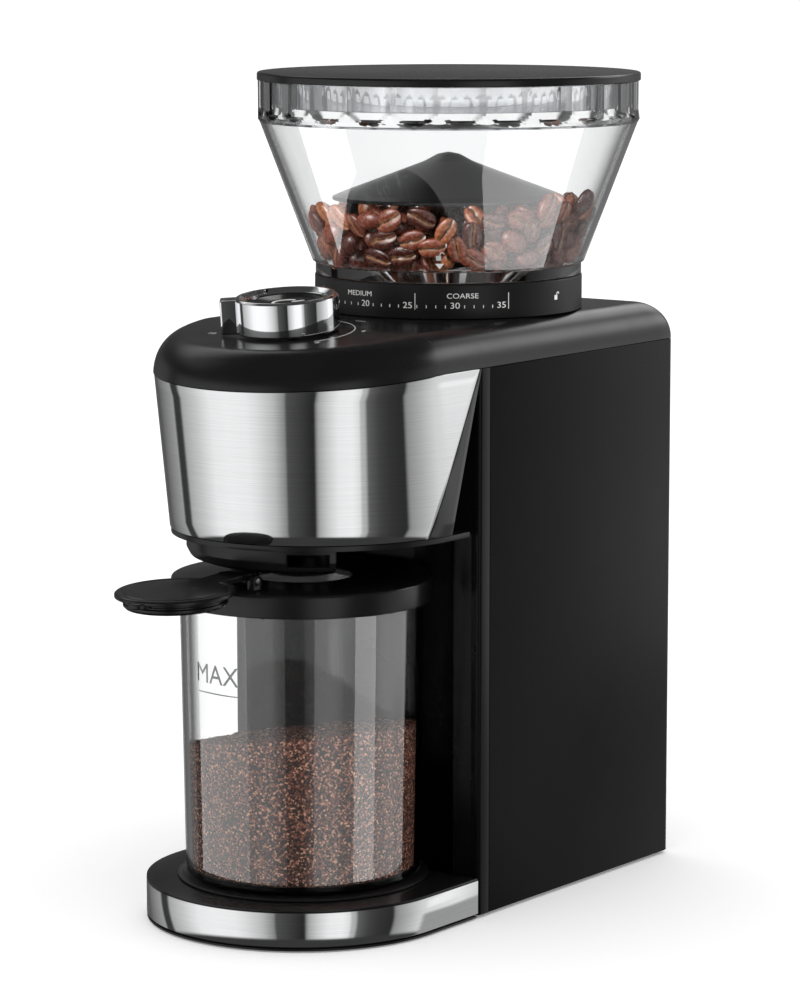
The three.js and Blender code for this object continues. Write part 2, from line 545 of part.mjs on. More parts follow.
function makeBurrs() {
  const shaftHole = drum(BURR_SHAFT_R + GAP, 180, 226.4, 0, 0, COARSE_SIDES);
  const chamber = turned([
    [4.8, 185.4], [11.3, 185.4], [11.3, 177.4], [15, 177.4], [15, 184.6], [35.5, 184.6],
    [35.5, 233], [49, 233], [49, 236], [33, 236], [33, 187.4], [4.8, 187.4],
  ]).subtract(block(-9, 9, -40, -25, 188, 199.6));
  piece('burr_chamber', chamber, CASTING, drive);
  piece('upper_burr_carrier', turned([
    [27.5, 198.4], [32.5, 198.4], [32.5, 240], [23, 240], [20.5, 232], [20.5, 220.9], [27.5, 220.9],
  ]), NYLON, drive);
  const grooves = raised(star(16, 23, 24.4, 0.34, 0.2), 198, 221);
  piece('ring_burr', drum(27.2, 198.6, 220.6).subtract(solid(grooves)), MACHINED, drive);

  const coneLow = 196;
  const coneHigh = 221;
  const taper = 0.52;
  const lead = 0.35;          // radians the grooves turn on their way up
  const coneGeometry = raised(star(14, 20.4, 22.2, 0.36, 0.16), coneLow, coneHigh, { steps: 2 });
  const spots = coneGeometry.attributes.position;
  for (let i = 0; i < spots.count; i += 1) {
    const up = (spots.getZ(i) - coneLow) / (coneHigh - coneLow);
    const shrink = 1 - taper * up;
    const twist = lead * up;
    const [x, y] = [spots.getX(i) * shrink, spots.getY(i) * shrink];
    spots.setX(i, x * Math.cos(twist) - y * Math.sin(twist));
    spots.setY(i, x * Math.sin(twist) + y * Math.cos(twist));
  }
  piece('cone_burr', solid(coneGeometry).subtract(shaftHole), MACHINED, drive);
  piece('burr_nut', drum(7, coneHigh + GAP, 228.5, 0, 0, 6).subtract(shaftHole), MACHINED, drive);
  const blades = [0, 45, 90, 135].map((angle) =>
    solid(geometryOf(block(-31.5, 31.5, -1.2, 1.2, 189, 195)).rotateZ(angle * DEG)));
  const sweeper = joined([drum(32, 188, 189.8), ...blades]).subtract(shaftHole);
  piece('grounds_impeller', sweeper, NYLON, drive);
  piece('burr_shaft', drum(BURR_SHAFT_R, 151, 226, 0, 0, COARSE_SIDES), MACHINED, drive);
  piece('upper_bearing', ring(BURR_SHAFT_R + GAP, BEARING_R, 177.4, 184.6), MACHINED, drive);
  piece('hopper_switch', block(39, 51, 4, 18, 218, 232), BLACK, drive);
}

function makeGearbox() {
  const plan = (inset) => {
    const shape = new THREE.Shape();
    const r = 10 - inset;
    const [x, low, high] = [27 - inset, -27 + inset, 51 - inset];
    shape.absarc(x - r, high - r, r, 0, Math.PI / 2, false);
    shape.absarc(-x + r, high - r, r, Math.PI / 2, Math.PI, false);
    shape.absarc(-x + r, low + r, r, Math.PI, 1.5 * Math.PI, false);
    shape.absarc(x - r, low + r, r, 1.5 * Math.PI, 2 * Math.PI, false);
    shape.closePath();
    return shape;
  };
  const small = { curveSegments: 4 };
  const wall = 3;
  const axleHole = AXLE_R + GAP;
  const cup = solid(raised(plan(0), GEARBOX_BOTTOM, GEARBOX_SEAM, small))
    .subtract(solid(raised(plan(wall), GEARBOX_BOTTOM + wall, GEARBOX_SEAM + 2, small)))
    .subtract(drum(6, GEARBOX_BOTTOM - 5, GEARBOX_BOTTOM + 5, 0, 0, COARSE_SIDES))
    .subtract(drum(axleHole, 136.5, 140, 0, LAYSHAFT_Y, 16));
  piece('gearbox_case', cup, CASTING, drive);
  const lid = solid(raised(plan(0), GEARBOX_SEAM + GAP, 171.3, small))
    .add(drum(14, 163, GEARBOX_SEAM + 1))
    .subtract(drum(BEARING_R + GAP, 160, 172))
    .subtract(drum(axleHole, 160, 169.8, 0, LAYSHAFT_Y, 16));
  piece('gearbox_lid', lid, CASTING, drive);
  piece('lower_bearing', ring(BURR_SHAFT_R + GAP, BEARING_R, 163.4, 171), MACHINED, drive);
  piece('intermediate_axle', drum(AXLE_R, 136.8, 169.5, 0, LAYSHAFT_Y, 16), MACHINED, drive);

  const towardBack = 90 * DEG;
  const pinion = gear(MOTOR_PINION_TEETH, towardBack, 141, 149, MOTOR_SHAFT_R + GAP);
  piece('motor_pinion', pinion, MACHINED, drive);
  const layshaft = new THREE.Group();
  layshaft.position.set(0, LAYSHAFT_Y, 0);
  drive.add(layshaft);
  const halfStep = (teeth) => Math.PI / teeth;
  const first = gear(FIRST_GEAR_TEETH, -towardBack + halfStep(FIRST_GEAR_TEETH), 141.5, 148.2, axleHole);
  const second = gear(SECOND_PINION_TEETH, -towardBack, 148, 159, axleHole);
  piece('intermediate_gear', first.add(second), NYLON, layshaft);
  const outputTurn = towardBack + halfStep(OUTPUT_GEAR_TEETH);
  const output = gear(OUTPUT_GEAR_TEETH, outputTurn, 150.6, 157.6, BURR_SHAFT_R + GAP);
  piece('output_gear', output, NYLON, drive);
}

function makeMotor() {
  const can = turned([[5, 130], [29, 130], [29, 62], [31, 62], [31, 132], [5, 132]]);
  piece('motor_can', can, MACHINED, drive);
  piece('motor_end_cap', ring(3.6, 31, 58, 61.7), NYLON, drive);
  const poles = ring(25.4, 28.7, 76, 116);
  const gaps = block(-40, 40, -10, 10, 70, 120);
  const front = poles.subtract(gaps).subtract(block(-40, 40, 0, 40, 70, 120));
  const back = poles.subtract(gaps).subtract(block(-40, 40, -40, 0, 70, 120));
  piece('front_magnet', front, FERRITE, drive);
  piece('back_magnet', back, FERRITE, drive);
  let core = drum(24.6, 74, 118).subtract(drum(MOTOR_SHAFT_R + 0.8, 70, 120, 0, 0, COARSE_SIDES));
  for (let i = 0; i < 8; i += 1) {
    const slot = geometryOf(block(17, 26, -2, 2, 70, 120)).rotateZ(i * 45 * DEG);
    core = core.subtract(solid(slot));
  }
  piece('armature', core, COPPER, drive);
  piece('motor_shaft', drum(MOTOR_SHAFT_R, 47, 150, 0, 0, COARSE_SIDES), MACHINED, drive);
  const fanBlades = [0, 45, 90, 135].map((angle) =>
    solid(geometryOf(block(-24, 24, -0.9, 0.9, 49, 56)).rotateZ(angle * DEG)));
  const fan = joined([drum(25, 48, 49.6), ...fanBlades])
    .subtract(drum(MOTOR_SHAFT_R + GAP, 40, 60, 0, 0, COARSE_SIDES));
  piece('cooling_fan', fan, NYLON, drive);
  const legs = [[-50, -36], [50, -36], [-50, 40], [50, 40]];
  const plate = block(-54, 54, -42, 46, 132 + GAP, 134.7)
    .subtract(drum(7, 130, 136, 0, 0, 24))
    .subtract(drum(RECESS_R + WALL + 0.6, 130, 136, 0, JAR_Y - BURR_Y, 48));
  const posts = legs.map(([x, y]) => drum(3.6, BASE_TOP + GAP, 133, x, y, 12));
  piece('motor_bracket', joined([plate, ...posts]), MACHINED, drive);
}

function makeElectrics() {
  const board = block(-40, 40, 60, 128, 24, 25.6);
  const parts = [
    drum(8, 25, 45, -24, 76, 20), block(4, 24, 70, 84, 25, 41), block(-30, -8, 98, 120, 25, 38),
    drum(5, 25, 40, 12, 108, 16), block(26, 30, 66, 118, 25, 46),
  ];
  const standoffs = [[-36, 64], [36, 64], [-36, 124], [36, 124]].map(([x, y]) =>
    drum(2.5, BASE_TOP + GAP, 24.5, x, y, COARSE_SIDES));
  piece('control_board', joined([board, ...parts, ...standoffs]), BOARD);
}

makeBase();
makeTower();
makeHead();
makeContainer();
makeKnob();
makeHopper();
makeBurrs();
makeGearbox();
makeMotor();
makeElectrics();

export default machine;
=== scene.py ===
"""Burr coffee grinder: the visual model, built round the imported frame.

Shapes are worked out in millimetres in the frame's own axes, +Z up and the front towards -Y, and
become metres when their mesh is made. Angles given as azimuths are degrees from +X, seen from above.
"""
import json
import math
import random

import bmesh
import bpy
from mathutils import Matrix, Vector, noise


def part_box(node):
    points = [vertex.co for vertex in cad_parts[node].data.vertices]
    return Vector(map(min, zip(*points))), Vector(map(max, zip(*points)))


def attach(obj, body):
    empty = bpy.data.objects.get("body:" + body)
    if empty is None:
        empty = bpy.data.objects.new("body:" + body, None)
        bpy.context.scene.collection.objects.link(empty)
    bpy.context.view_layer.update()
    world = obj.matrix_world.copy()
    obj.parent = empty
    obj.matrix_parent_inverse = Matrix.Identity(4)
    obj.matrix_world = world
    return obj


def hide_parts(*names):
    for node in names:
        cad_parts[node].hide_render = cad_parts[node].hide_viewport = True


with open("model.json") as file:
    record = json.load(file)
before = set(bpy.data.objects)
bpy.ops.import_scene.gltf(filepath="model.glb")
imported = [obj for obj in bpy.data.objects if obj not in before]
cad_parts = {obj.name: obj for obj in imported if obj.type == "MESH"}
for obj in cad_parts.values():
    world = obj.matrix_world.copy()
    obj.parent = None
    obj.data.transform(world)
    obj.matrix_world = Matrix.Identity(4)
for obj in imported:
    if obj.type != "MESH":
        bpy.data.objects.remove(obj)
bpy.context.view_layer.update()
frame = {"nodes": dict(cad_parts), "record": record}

MM = 0.001
DEG = math.pi / 180


def span(node):
    """A CAD node's lowest and highest corners, in millimetres."""
    low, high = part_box(node)
    return low / MM, high / MM


def middle(node):
    low, high = span(node)
    return (low + high) / 2


# ---- Driving dimensions, from the frame where a node gives them ----
HALF_WIDTH = span("base_trim_band")[1].x
JAR_Y = middle("container_jar").y
BURR_Y = middle("scale_collar").y
NOSE_Y = -30.0                                # centre of the head's round nose
BACK_Y = span("rear_housing")[1].y
WALL = 2.5
GAP = 0.3
SHARP_EDGE = 35 * DEG
SPLIT_Y = span("rear_housing")[0].y - GAP     # where the front panel meets the rear housing
STRIP_FRONT = SPLIT_Y - 6.9
PLATE_BOTTOM = span("base_plate")[0].z
BASE_TOP = span("base_cover")[1].z
DECK = span("top_cover")[1].z
SEAM = 222.3                                  # lower edge of the top cover
SEAM_FALL = math.tan(3.9 * DEG)               # the seam's slope forward of the nose centre
DECK_TILT = 5.3 * DEG                         # the deck's slope there
FILLET_IN, FILLET_DOWN = 12.0, 15.0
HEAD_BOTTOM = 157.9
HEAD_NARROWING = 61.4 / 63.0                  # width at the head's bottom over its top
HEAD_LOW_Y = -18.75                           # centre of its lower outline
HEAD_STRETCH = 67.7 / HALF_WIDTH              # forward reach of that outline over the upper one
RECESS_R = 60.5
SHROUD_R = 50.4
COLLAR_R = 55.3
NOZZLE_R = 13.0
CORD_X, CORD_Z = -35, 27                       # the cord's hole in the back
KNOB_Y = -45.2
KNOB_FRAME = (
    Matrix.Translation((0, KNOB_Y, DECK + math.tan(DECK_TILT) * (KNOB_Y - NOSE_Y)))
    @ Matrix.Rotation(DECK_TILT, 4, "X")
)
HINGE_Y, HINGE_Z = JAR_Y - 40, 142             # the flip cap's hinge
CAP_FRAME = Matrix.Translation((0, HINGE_Y, HINGE_Z)) @ Matrix.Rotation(2.5 * DEG, 4, "X")
JAR_WALL_INNER = (44.8, 22.0, 46.6, 129.4)    # radius, height at the foot and at the rim
HOPPER_FLOOR = (22.0, 245.4, 53.6, 257.6)
FLOOR_SLOPE = 0.386
HOPPER_WALL = (53.6, 257.6, 76.2, 317.0)


def along(line, z):
    """The radius at height z on a straight wall given as (radius, z, radius, z)."""
    r0, z0, r1, z1 = line
    return r0 + (r1 - r0) * (z - z0) / (z1 - z0)


# ---- Camera ----
def make_camera():
    camera = bpy.data.objects.new("camera", bpy.data.cameras.new("camera"))
    bpy.context.scene.collection.objects.link(camera)
    place = Vector((947.1, -1264.0, 398.6)) * MM
    target = Vector((2.31, 25.91, 161.12)) * MM
    camera.location = place
    camera.rotation_euler = (target - place).to_track_quat("-Z", "Y").to_euler()
    camera.data.lens = 141.9
    camera.data.sensor_width = 36
    camera.data.clip_start = 0.05
    camera.data.clip_end = 60
    bpy.context.scene.camera = camera


# ---- Studio ----
DARK = 0.05             # what shiny pieces mirror beside the cards and panels
PLAIN_LIGHT = 1.08      # the backdrop, and the light on rough surfaces
THROUGH_LIGHT = 0.5     # what clear pieces show through themselves beside the panels
FLOOR_GLOW = 0.16
# Each panel: azimuth from, to and edge softness, elevation from, to and softness, brightness.
MIRRORED_PANELS = [
    (46, 92, 4, -60, -12.8, 1.4, 0.4),        # the tower's right side, low and high
    (50, 64, 4, -8.5, -2, 1.5, 1.15),
    (48, 80, 7, 13, 29, 6, 3.3),              # boxes overhead, which draw the shoulders' highlights
    (80, 125, 9, 22, 42, 7, 2.6),
    (120, 200, 9, 30, 52, 8, 1.1),
    (-200, -150, 9, 26, 48, 8, 0.5),
    (112, 160, 6, 10, 24, 4, 0.07),
]
# Dark flags at both sides, white behind the object, lights in front with a dim gap, and an overhead.
SEEN_THROUGH_PANELS = [
    (52, 190, 6, -60, 60, 15, 0.12),
    (-190, -155, 6, -60, 60, 15, 0.12),
    (117, 137, 3, -34, 18, 8, 1.08),
    (-96, 30, 20, -60, 60, 15, 1.25),
    (-80, 26, 5, -34, -5, 3, 0.35),
    (-200, 200, 1, 55, 100, 12, 1.9),
]
# The wall of cards round the table, between two elevations: azimuth and brightness.
CARDS = [
    (-180, 0.5), (-177, 0.05), (-169, 0.05), (-166, 0.5), (-150, 0.75), (-134, 1.1), (-120, 1.16),
    (-103, 1.12), (-95, 0.98), (-82, 0.66), (-77, 0.45), (-73.5, 0.32), (-72, 0.1), (-51, 0.02),
    (-49.5, 0.45), (-42, 0.8), (-34, 1.1), (-24, 1.16), (-18, 0.95), (-16.5, 0.3), (-15, 0.8),
    (-13, 0.15), (-4, 0.07), (4, 0.045), (16, 0.03), (18, 0.34), (30, 0.55), (44, 0.85), (66, 1.0),
    (96, 0.25), (150, 0.1), (200, 0.6),
]
CARDS_LOW, CARDS_HIGH = -27, 11
CARDS_START, CARDS_SPAN = -200, 400


def smooth_step(tree, value, low, high):
    node = tree.nodes.new("ShaderNodeMapRange")
    node.interpolation_type = "SMOOTHSTEP"
    tree.links.new(value, node.inputs["Value"])
    node.inputs["From Min"].default_value = low
    node.inputs["From Max"].default_value = high
    return node.outputs["Result"]


def math_node(tree, operation, first, second=None):
    node = tree.nodes.new("ShaderNodeMath")
    node.operation = operation
    for socket, value in zip(node.inputs, (first, second)):
        if isinstance(value, (int, float)):
            socket.default_value = value
        elif value is not None:
            tree.links.new(value, socket)
    return node.outputs[0]


def inverse(tree, value):
    return math_node(tree, "SUBTRACT", 1.0, value)


def weighted(tree, *terms):
    """The sum of value times weight, over (value, weight) pairs."""
    total = 0.0
    for value, weight in terms:
        total = math_node(tree, "ADD", math_node(tree, "MULTIPLY", value, weight), total)
    return total


def with_panels(tree, azimuth, elevation, brightness, panels):
    """Lays soft-edged panels over a brightness, each covering what lies under it."""
    for az0, az1, az_soft, el0, el1, el_soft, value in panels:
        mask = 1.0
        for edge in (
            smooth_step(tree, azimuth, az0 - az_soft, az0 + az_soft),
            smooth_step(tree, azimuth, az1 + az_soft, az1 - az_soft),
            smooth_step(tree, elevation, el0 - el_soft, el0 + el_soft),
            smooth_step(tree, elevation, el1 + el_soft, el1 - el_soft),
        ):
            mask = math_node(tree, "MULTIPLY", edge, mask)
        brightness = weighted(tree, (brightness, inverse(tree, mask)), (value, mask))
    return brightness


def card_wall(tree, azimuth, elevation):
    place = math_node(tree, "DIVIDE", math_node(tree, "SUBTRACT", azimuth, CARDS_START), CARDS_SPAN)
    wall = tint(tree, place, [((az - CARDS_START) / CARDS_SPAN, (value,) * 3) for az, value in CARDS])
    above = smooth_step(tree, elevation, CARDS_LOW - 2, CARDS_LOW + 2)
    below = smooth_step(tree, elevation, CARDS_HIGH + 3, CARDS_HIGH - 3)
    reach = math_node(tree, "MULTIPLY", above, below)
    return weighted(tree, (wall, reach), (DARK, inverse(tree, reach)))


def make_world():
    """A plain pale surround, with cards for mirrored rays and panels for rays through clear pieces."""
    world = bpy.data.worlds.new("studio")
    bpy.context.scene.world = world
    world.use_nodes = True
    tree = world.node_tree
    background = tree.nodes["Background"]
    background.inputs["Color"].default_value = (1, 1, 1, 1)
    coordinates = tree.nodes.new("ShaderNodeTexCoord")
    split = tree.nodes.new("ShaderNodeSeparateXYZ")
    tree.links.new(coordinates.outputs["Generated"], split.inputs[0])
    turn = math_node(tree, "ARCTAN2", split.outputs["Y"], split.outputs["X"])
    azimuth = math_node(tree, "MULTIPLY", turn, 1 / DEG)
    rise = math_node(tree, "ARCSINE", split.outputs["Z"])
    elevation = math_node(tree, "MULTIPLY", rise, 1 / DEG)

    cards = card_wall(tree, azimuth, elevation)
    mirrored = with_panels(tree, azimuth, elevation, cards, MIRRORED_PANELS)
    through = with_panels(tree, azimuth, elevation, THROUGH_LIGHT, SEEN_THROUGH_PANELS)

    path = tree.nodes.new("ShaderNodeLightPath").outputs
    is_through = path["Is Transmission Ray"]
    outside = inverse(tree, is_through)
    is_mirrored = math_node(tree, "MULTIPLY", path["Is Glossy Ray"], outside)
    is_plain = math_node(tree, "SUBTRACT", outside, is_mirrored)
    total = weighted(tree, (PLAIN_LIGHT, is_plain), (mirrored, is_mirrored), (through, is_through))
    tree.links.new(total, background.inputs["Strength"])


def make_floor():
    """A pale table that shows the contact shadow and that mirrored rays pass."""
    bpy.ops.mesh.primitive_plane_add(size=12)
    floor = bpy.context.object
    floor.name = "studio_floor"
    made = bpy.data.materials.new("studio_floor")
    made.use_nodes = True
    tree = made.node_tree
    shader = tree.nodes["Principled BSDF"]
    shader.inputs["Base Color"].default_value = (0.98, 0.98, 0.98, 1)
    shader.inputs["Specular IOR Level"].default_value = 0.0
    shader.inputs["Emission Color"].default_value = (1, 1, 1, 1)
    shader.inputs["Emission Strength"].default_value = FLOOR_GLOW
    clear = tree.nodes.new("ShaderNodeBsdfTransparent")
    mix = tree.nodes.new("ShaderNodeMixShader")
    path = tree.nodes.new("ShaderNodeLightPath")
    tree.links.new(path.outputs["Is Glossy Ray"], mix.inputs[0])
    tree.links.new(shader.outputs[0], mix.inputs[1])
    tree.links.new(clear.outputs[0], mix.inputs[2])
    tree.links.new(mix.outputs[0], tree.nodes["Material Output"].inputs["Surface"])
    floor.data.materials.append(made)


JAR, FUNNEL, HAT = (0, JAR_Y, 100), (0, BURR_Y, 290), (0, BURR_Y, 292)
# Soft boxes that light one piece each: what they aim at, azimuth, elevation, width and height in
# degrees, brightness, the piece, and the pieces that may shade it, which are all when none is named.
SOFT_BOXES = {
    "wide_box": (JAR, 10, -9, 100, 47, 1.5, "jar_wall"),
    "bright_box": (JAR, 9, -9, 22, 47, 3.6, "jar_wall"),
    "left_box": (JAR, -137, -9, 60, 47, 2.2, "jar_wall"),
    "middle_box": (JAR, -88, -9, 38, 47, 0.8, "jar_wall"),
    "low_right_box": (FUNNEL, 12, -40, 54, 27, 4.8, "hopper_funnel", "hopper_funnel"),
    "low_left_box": (FUNNEL, -148, -40, 32, 27, 4.8, "hopper_funnel", "hopper_funnel"),
    "hat_left_box": (HAT, 149, 39, 12, 14, 5.5, "deflector_hat", "deflector_hat"),
    "hat_right_box": (HAT, 100, 40, 12, 14, 2.0, "deflector_hat", "deflector_hat"),
    "bean_box": (FUNNEL, -95, 25, 36, 30, 9.0, "coffee_beans", "coffee_beans", "deflector_hat"),
}
BOX_REACH = 1.5         # metres from what a soft box aims at


def soft_box(name, aim, azimuth, elevation, width, height, brightness, lit, *blockers):
    light = bpy.data.lights.new(name, "AREA")
    light.shape = "RECTANGLE"
    light.size = 2 * BOX_REACH * math.tan(width / 2 * DEG)
    light.size_y = 2 * BOX_REACH * math.tan(height / 2 * DEG)
    light.energy = brightness * math.pi * light.size * light.size_y
    lamp = bpy.data.objects.new(name, light)
    flat = math.cos(elevation * DEG)
    way = Vector((
        math.cos(azimuth * DEG) * flat, math.sin(azimuth * DEG) * flat, math.sin(elevation * DEG)))
    lamp.location = Vector(aim) * MM + BOX_REACH * way
    lamp.rotation_euler = (-way).to_track_quat("-Z", "Y").to_euler()
    lamp.visible_camera = False
    lamp.visible_transmission = False
    bpy.context.scene.collection.objects.link(lamp)
    lamp.light_linking.receiver_collection = group(name + "_lights", [lit])
    if blockers:
        lamp.light_linking.blocker_collection = group(name + "_shadows", blockers)


def group(name, pieces):
    made = bpy.data.collections.new(name)
    for piece in pieces:
        made.objects.link(bpy.data.objects[piece])
    return made


# ---- Materials ----
def new_material(name, color, roughness, metallic=0.0, **sockets):
    made = bpy.data.materials.new(name)
    made.use_nodes = True
    shader = made.node_tree.nodes["Principled BSDF"]
    shader.inputs["Base Color"].default_value = (*color, 1)
    shader.inputs["Roughness"].default_value = roughness
    shader.inputs["Metallic"].default_value = metallic
    for socket, value in sockets.items():
        shader.inputs[socket.replace("_", " ")].default_value = value
    return made, made.node_tree, shader


def noise_field(tree, scale, detail=3.0, stretch=(1, 1, 1)):
    coordinates = tree.nodes.new("ShaderNodeTexCoord")
    mapping = tree.nodes.new("ShaderNodeMapping")
    mapping.inputs["Scale"].default_value = stretch
    field = tree.nodes.new("ShaderNodeTexNoise")
    field.inputs["Scale"].default_value = scale
    field.inputs["Detail"].default_value = detail
    tree.links.new(coordinates.outputs["Object"], mapping.inputs["Vector"])
    tree.links.new(mapping.outputs["Vector"], field.inputs["Vector"])
    return field.outputs["Fac"]


def spread(tree, value, low, high, source=(0.3, 0.7)):
    """Maps a noise value to the range low..high."""
    node = tree.nodes.new("ShaderNodeMapRange")
    tree.links.new(value, node.inputs["Value"])
    node.inputs["From Min"].default_value, node.inputs["From Max"].default_value = source
    node.inputs["To Min"].default_value = low
    node.inputs["To Max"].default_value = high
    return node.outputs["Result"]


def tint(tree, value, stops):
    node = tree.nodes.new("ShaderNodeValToRGB")
    ramp = node.color_ramp
    while len(ramp.elements) < len(stops):
        ramp.elements.new(0.5)
    for element, (position, color) in zip(ramp.elements, stops):
        element.position = position
        element.color = (*color, 1)
    tree.links.new(value, node.inputs["Fac"])
    return node.outputs["Color"]


def bumpy(tree, shader, height, distance, strength=1.0):
    node = tree.nodes.new("ShaderNodeBump")
    node.inputs["Strength"].default_value = strength
    node.inputs["Distance"].default_value = distance
    tree.links.new(height, node.inputs["Height"])
    tree.links.new(node.outputs["Normal"], shader.inputs["Normal"])


def moulded(name, color, roughness, texture=0.000004, grain=2600, specular=0.35):
    """Moulded plastic: a fine eroded texture, and a finish that varies a little over the surface."""
    made, tree, shader = new_material(name, color, roughness)
    shader.inputs["Specular IOR Level"].default_value = specular
    cloud = noise_field(tree, 38, 4)
    tree.links.new(spread(tree, cloud, roughness * 0.88, roughness * 1.12), shader.inputs["Roughness"])
    dark = tuple(0.85 * c for c in color)
    light = tuple(1.15 * c for c in color)
    tree.links.new(tint(tree, cloud, [(0.3, dark), (0.7, light)]), shader.inputs["Base Color"])
    bumpy(tree, shader, noise_field(tree, grain, 3), texture)
    return made


def brushed(name, color, roughness, stretch, anisotropy=0.55, depth=0.000004):
    """Metal with fine lines across the direction in which `stretch` is large."""
    made, tree, shader = new_material(name, color, roughness, 1.0)
    shader.inputs["Anisotropic"].default_value = anisotropy
    lines = noise_field(tree, 1, 6, stretch)
    broad = noise_field(tree, 24, 2)
    tree.links.new(spread(tree, lines, roughness * 0.75, roughness * 1.3), shader.inputs["Roughness"])
    low = tuple(0.9 * c for c in color)
    tree.links.new(tint(tree, lines, [(0.35, low), (0.65, color)]), shader.inputs["Base Color"])
    total = math_node(tree, "ADD", lines, math_node(tree, "MULTIPLY", broad, 0.2))
    bumpy(tree, shader, total, depth)
    return made


def polished(name, color, roughness):
    made, tree, shader = new_material(name, color, roughness, 1.0)
    haze = noise_field(tree, 60, 3)
    tree.links.new(spread(tree, haze, roughness * 0.7, roughness * 1.6), shader.inputs["Roughness"])
    bumpy(tree, shader, noise_field(tree, 45, 2), 0.00002, 0.15)
    return made


def clear(name, color, ior, roughness=0.015, **sockets):
    made, tree, shader = new_material(
        name, color, roughness, IOR=ior, Transmission_Weight=1.0, **sockets)
    faint = noise_field(tree, 30, 2)
    tree.links.new(spread(tree, faint, roughness * 0.6, roughness * 1.8), shader.inputs["Roughness"])
    bumpy(tree, shader, noise_field(tree, 22, 1), 0.00003, 0.08)
    return made


def board_finish():
    made, tree, shader = new_material("green_board", (0.04, 0.2, 0.08), 0.4)
    tracks = noise_field(tree, 260, 1, (1, 0.15, 1))
    tree.links.new(
        tint(tree, tracks, [(0.48, (0.02, 0.12, 0.05)), (0.52, (0.06, 0.26, 0.1))]),
        shader.inputs["Base Color"])
    return made


def bean_finish():
    """Roasted beans: every bean has its own brown, oily patches and a pale crease with chaff in it; the
    crease's deepest line is darkened with painted shade.
    """
    made, tree, shader = new_material("roasted_bean", (0.08, 0.025, 0.012), 0.32)
    shader.inputs["Specular IOR Level"].default_value = 0.9
    own = tree.nodes.new("ShaderNodeNewGeometry").outputs["Random Per Island"]
    skin = tint(tree, own, [
        (0.0, (0.060, 0.014, 0.009)), (0.45, (0.17, 0.045, 0.026)), (0.8, (0.30, 0.085, 0.045)),
        (1.0, (0.46, 0.16, 0.065)),
    ])
    mottle = noise_field(tree, 700, 4)
    mixed = tree.nodes.new("ShaderNodeMix")
    mixed.data_type = "RGBA"
    mixed.blend_type = "MULTIPLY"
    mixed.inputs["Factor"].default_value = 1.0
    tree.links.new(skin, mixed.inputs["A"])
    shade = tint(tree, mottle, [(0.3, (0.55, 0.5, 0.5)), (0.7, (1.25, 1.2, 1.15))])
    tree.links.new(shade, mixed.inputs["B"])
    crease = tree.nodes.new("ShaderNodeAttribute")
    crease.attribute_name = "crease"
    # Chaff makes the crease pale part of the way in; its deepest line is painted shade, near black.
    pale, crease_shade = (0.40, 0.19, 0.09), (0.02, 0.006, 0.004)
    chaff_and_crease_shade = tint(tree, crease.outputs["Fac"], [(0.2, pale), (0.6, pale), (0.85, crease_shade)])
    final = tree.nodes.new("ShaderNodeMix")
    final.data_type = "RGBA"
    tree.links.new(spread(tree, crease.outputs["Fac"], 0, 0.9, (0.25, 0.6)), final.inputs["Factor"])
    tree.links.new(mixed.outputs["Result"], final.inputs["A"])
    tree.links.new(chaff_and_crease_shade, final.inputs["B"])
    tree.links.new(final.outputs["Result"], shader.inputs["Base Color"])
    tree.links.new(spread(tree, mottle, 0.14, 0.38), shader.inputs["Roughness"])
    bumpy(tree, shader, noise_field(tree, 1500, 4), 0.00012)
    return made


def grounds_finish():
    """Coarse coffee grounds: specks of dark, red-brown and tan, each about half a millimetre; the palest tan
    specks are painted highlights for glints on the grains.
    """
    made, tree, shader = new_material("coffee_grounds", (0.1, 0.04, 0.02), 0.75)
    coordinates = tree.nodes.new("ShaderNodeTexCoord")
    cells = tree.nodes.new("ShaderNodeTexVoronoi")
    cells.inputs["Scale"].default_value = 1450
    tree.links.new(coordinates.outputs["Object"], cells.inputs["Vector"])
    separate = tree.nodes.new("ShaderNodeSeparateColor")
    tree.links.new(cells.outputs["Color"], separate.inputs["Color"])
    # The palest stops stand in for glints on the grains: painted highlights; the darker ones are the
    # grounds' own speckled colour.
    specks_and_glints = tint(tree, separate.outputs["Red"], [
        (0.0, (0.004, 0.0015, 0.001)), (0.35, (0.030, 0.008, 0.005)), (0.6, (0.15, 0.042, 0.024)),
        (0.85, (0.46, 0.18, 0.11)), (1.0, (0.95, 0.55, 0.36)),
    ])
    tree.links.new(specks_and_glints, shader.inputs["Base Color"])
    bumpy(tree, shader, cells.outputs["Distance"], 0.0005)
    return made


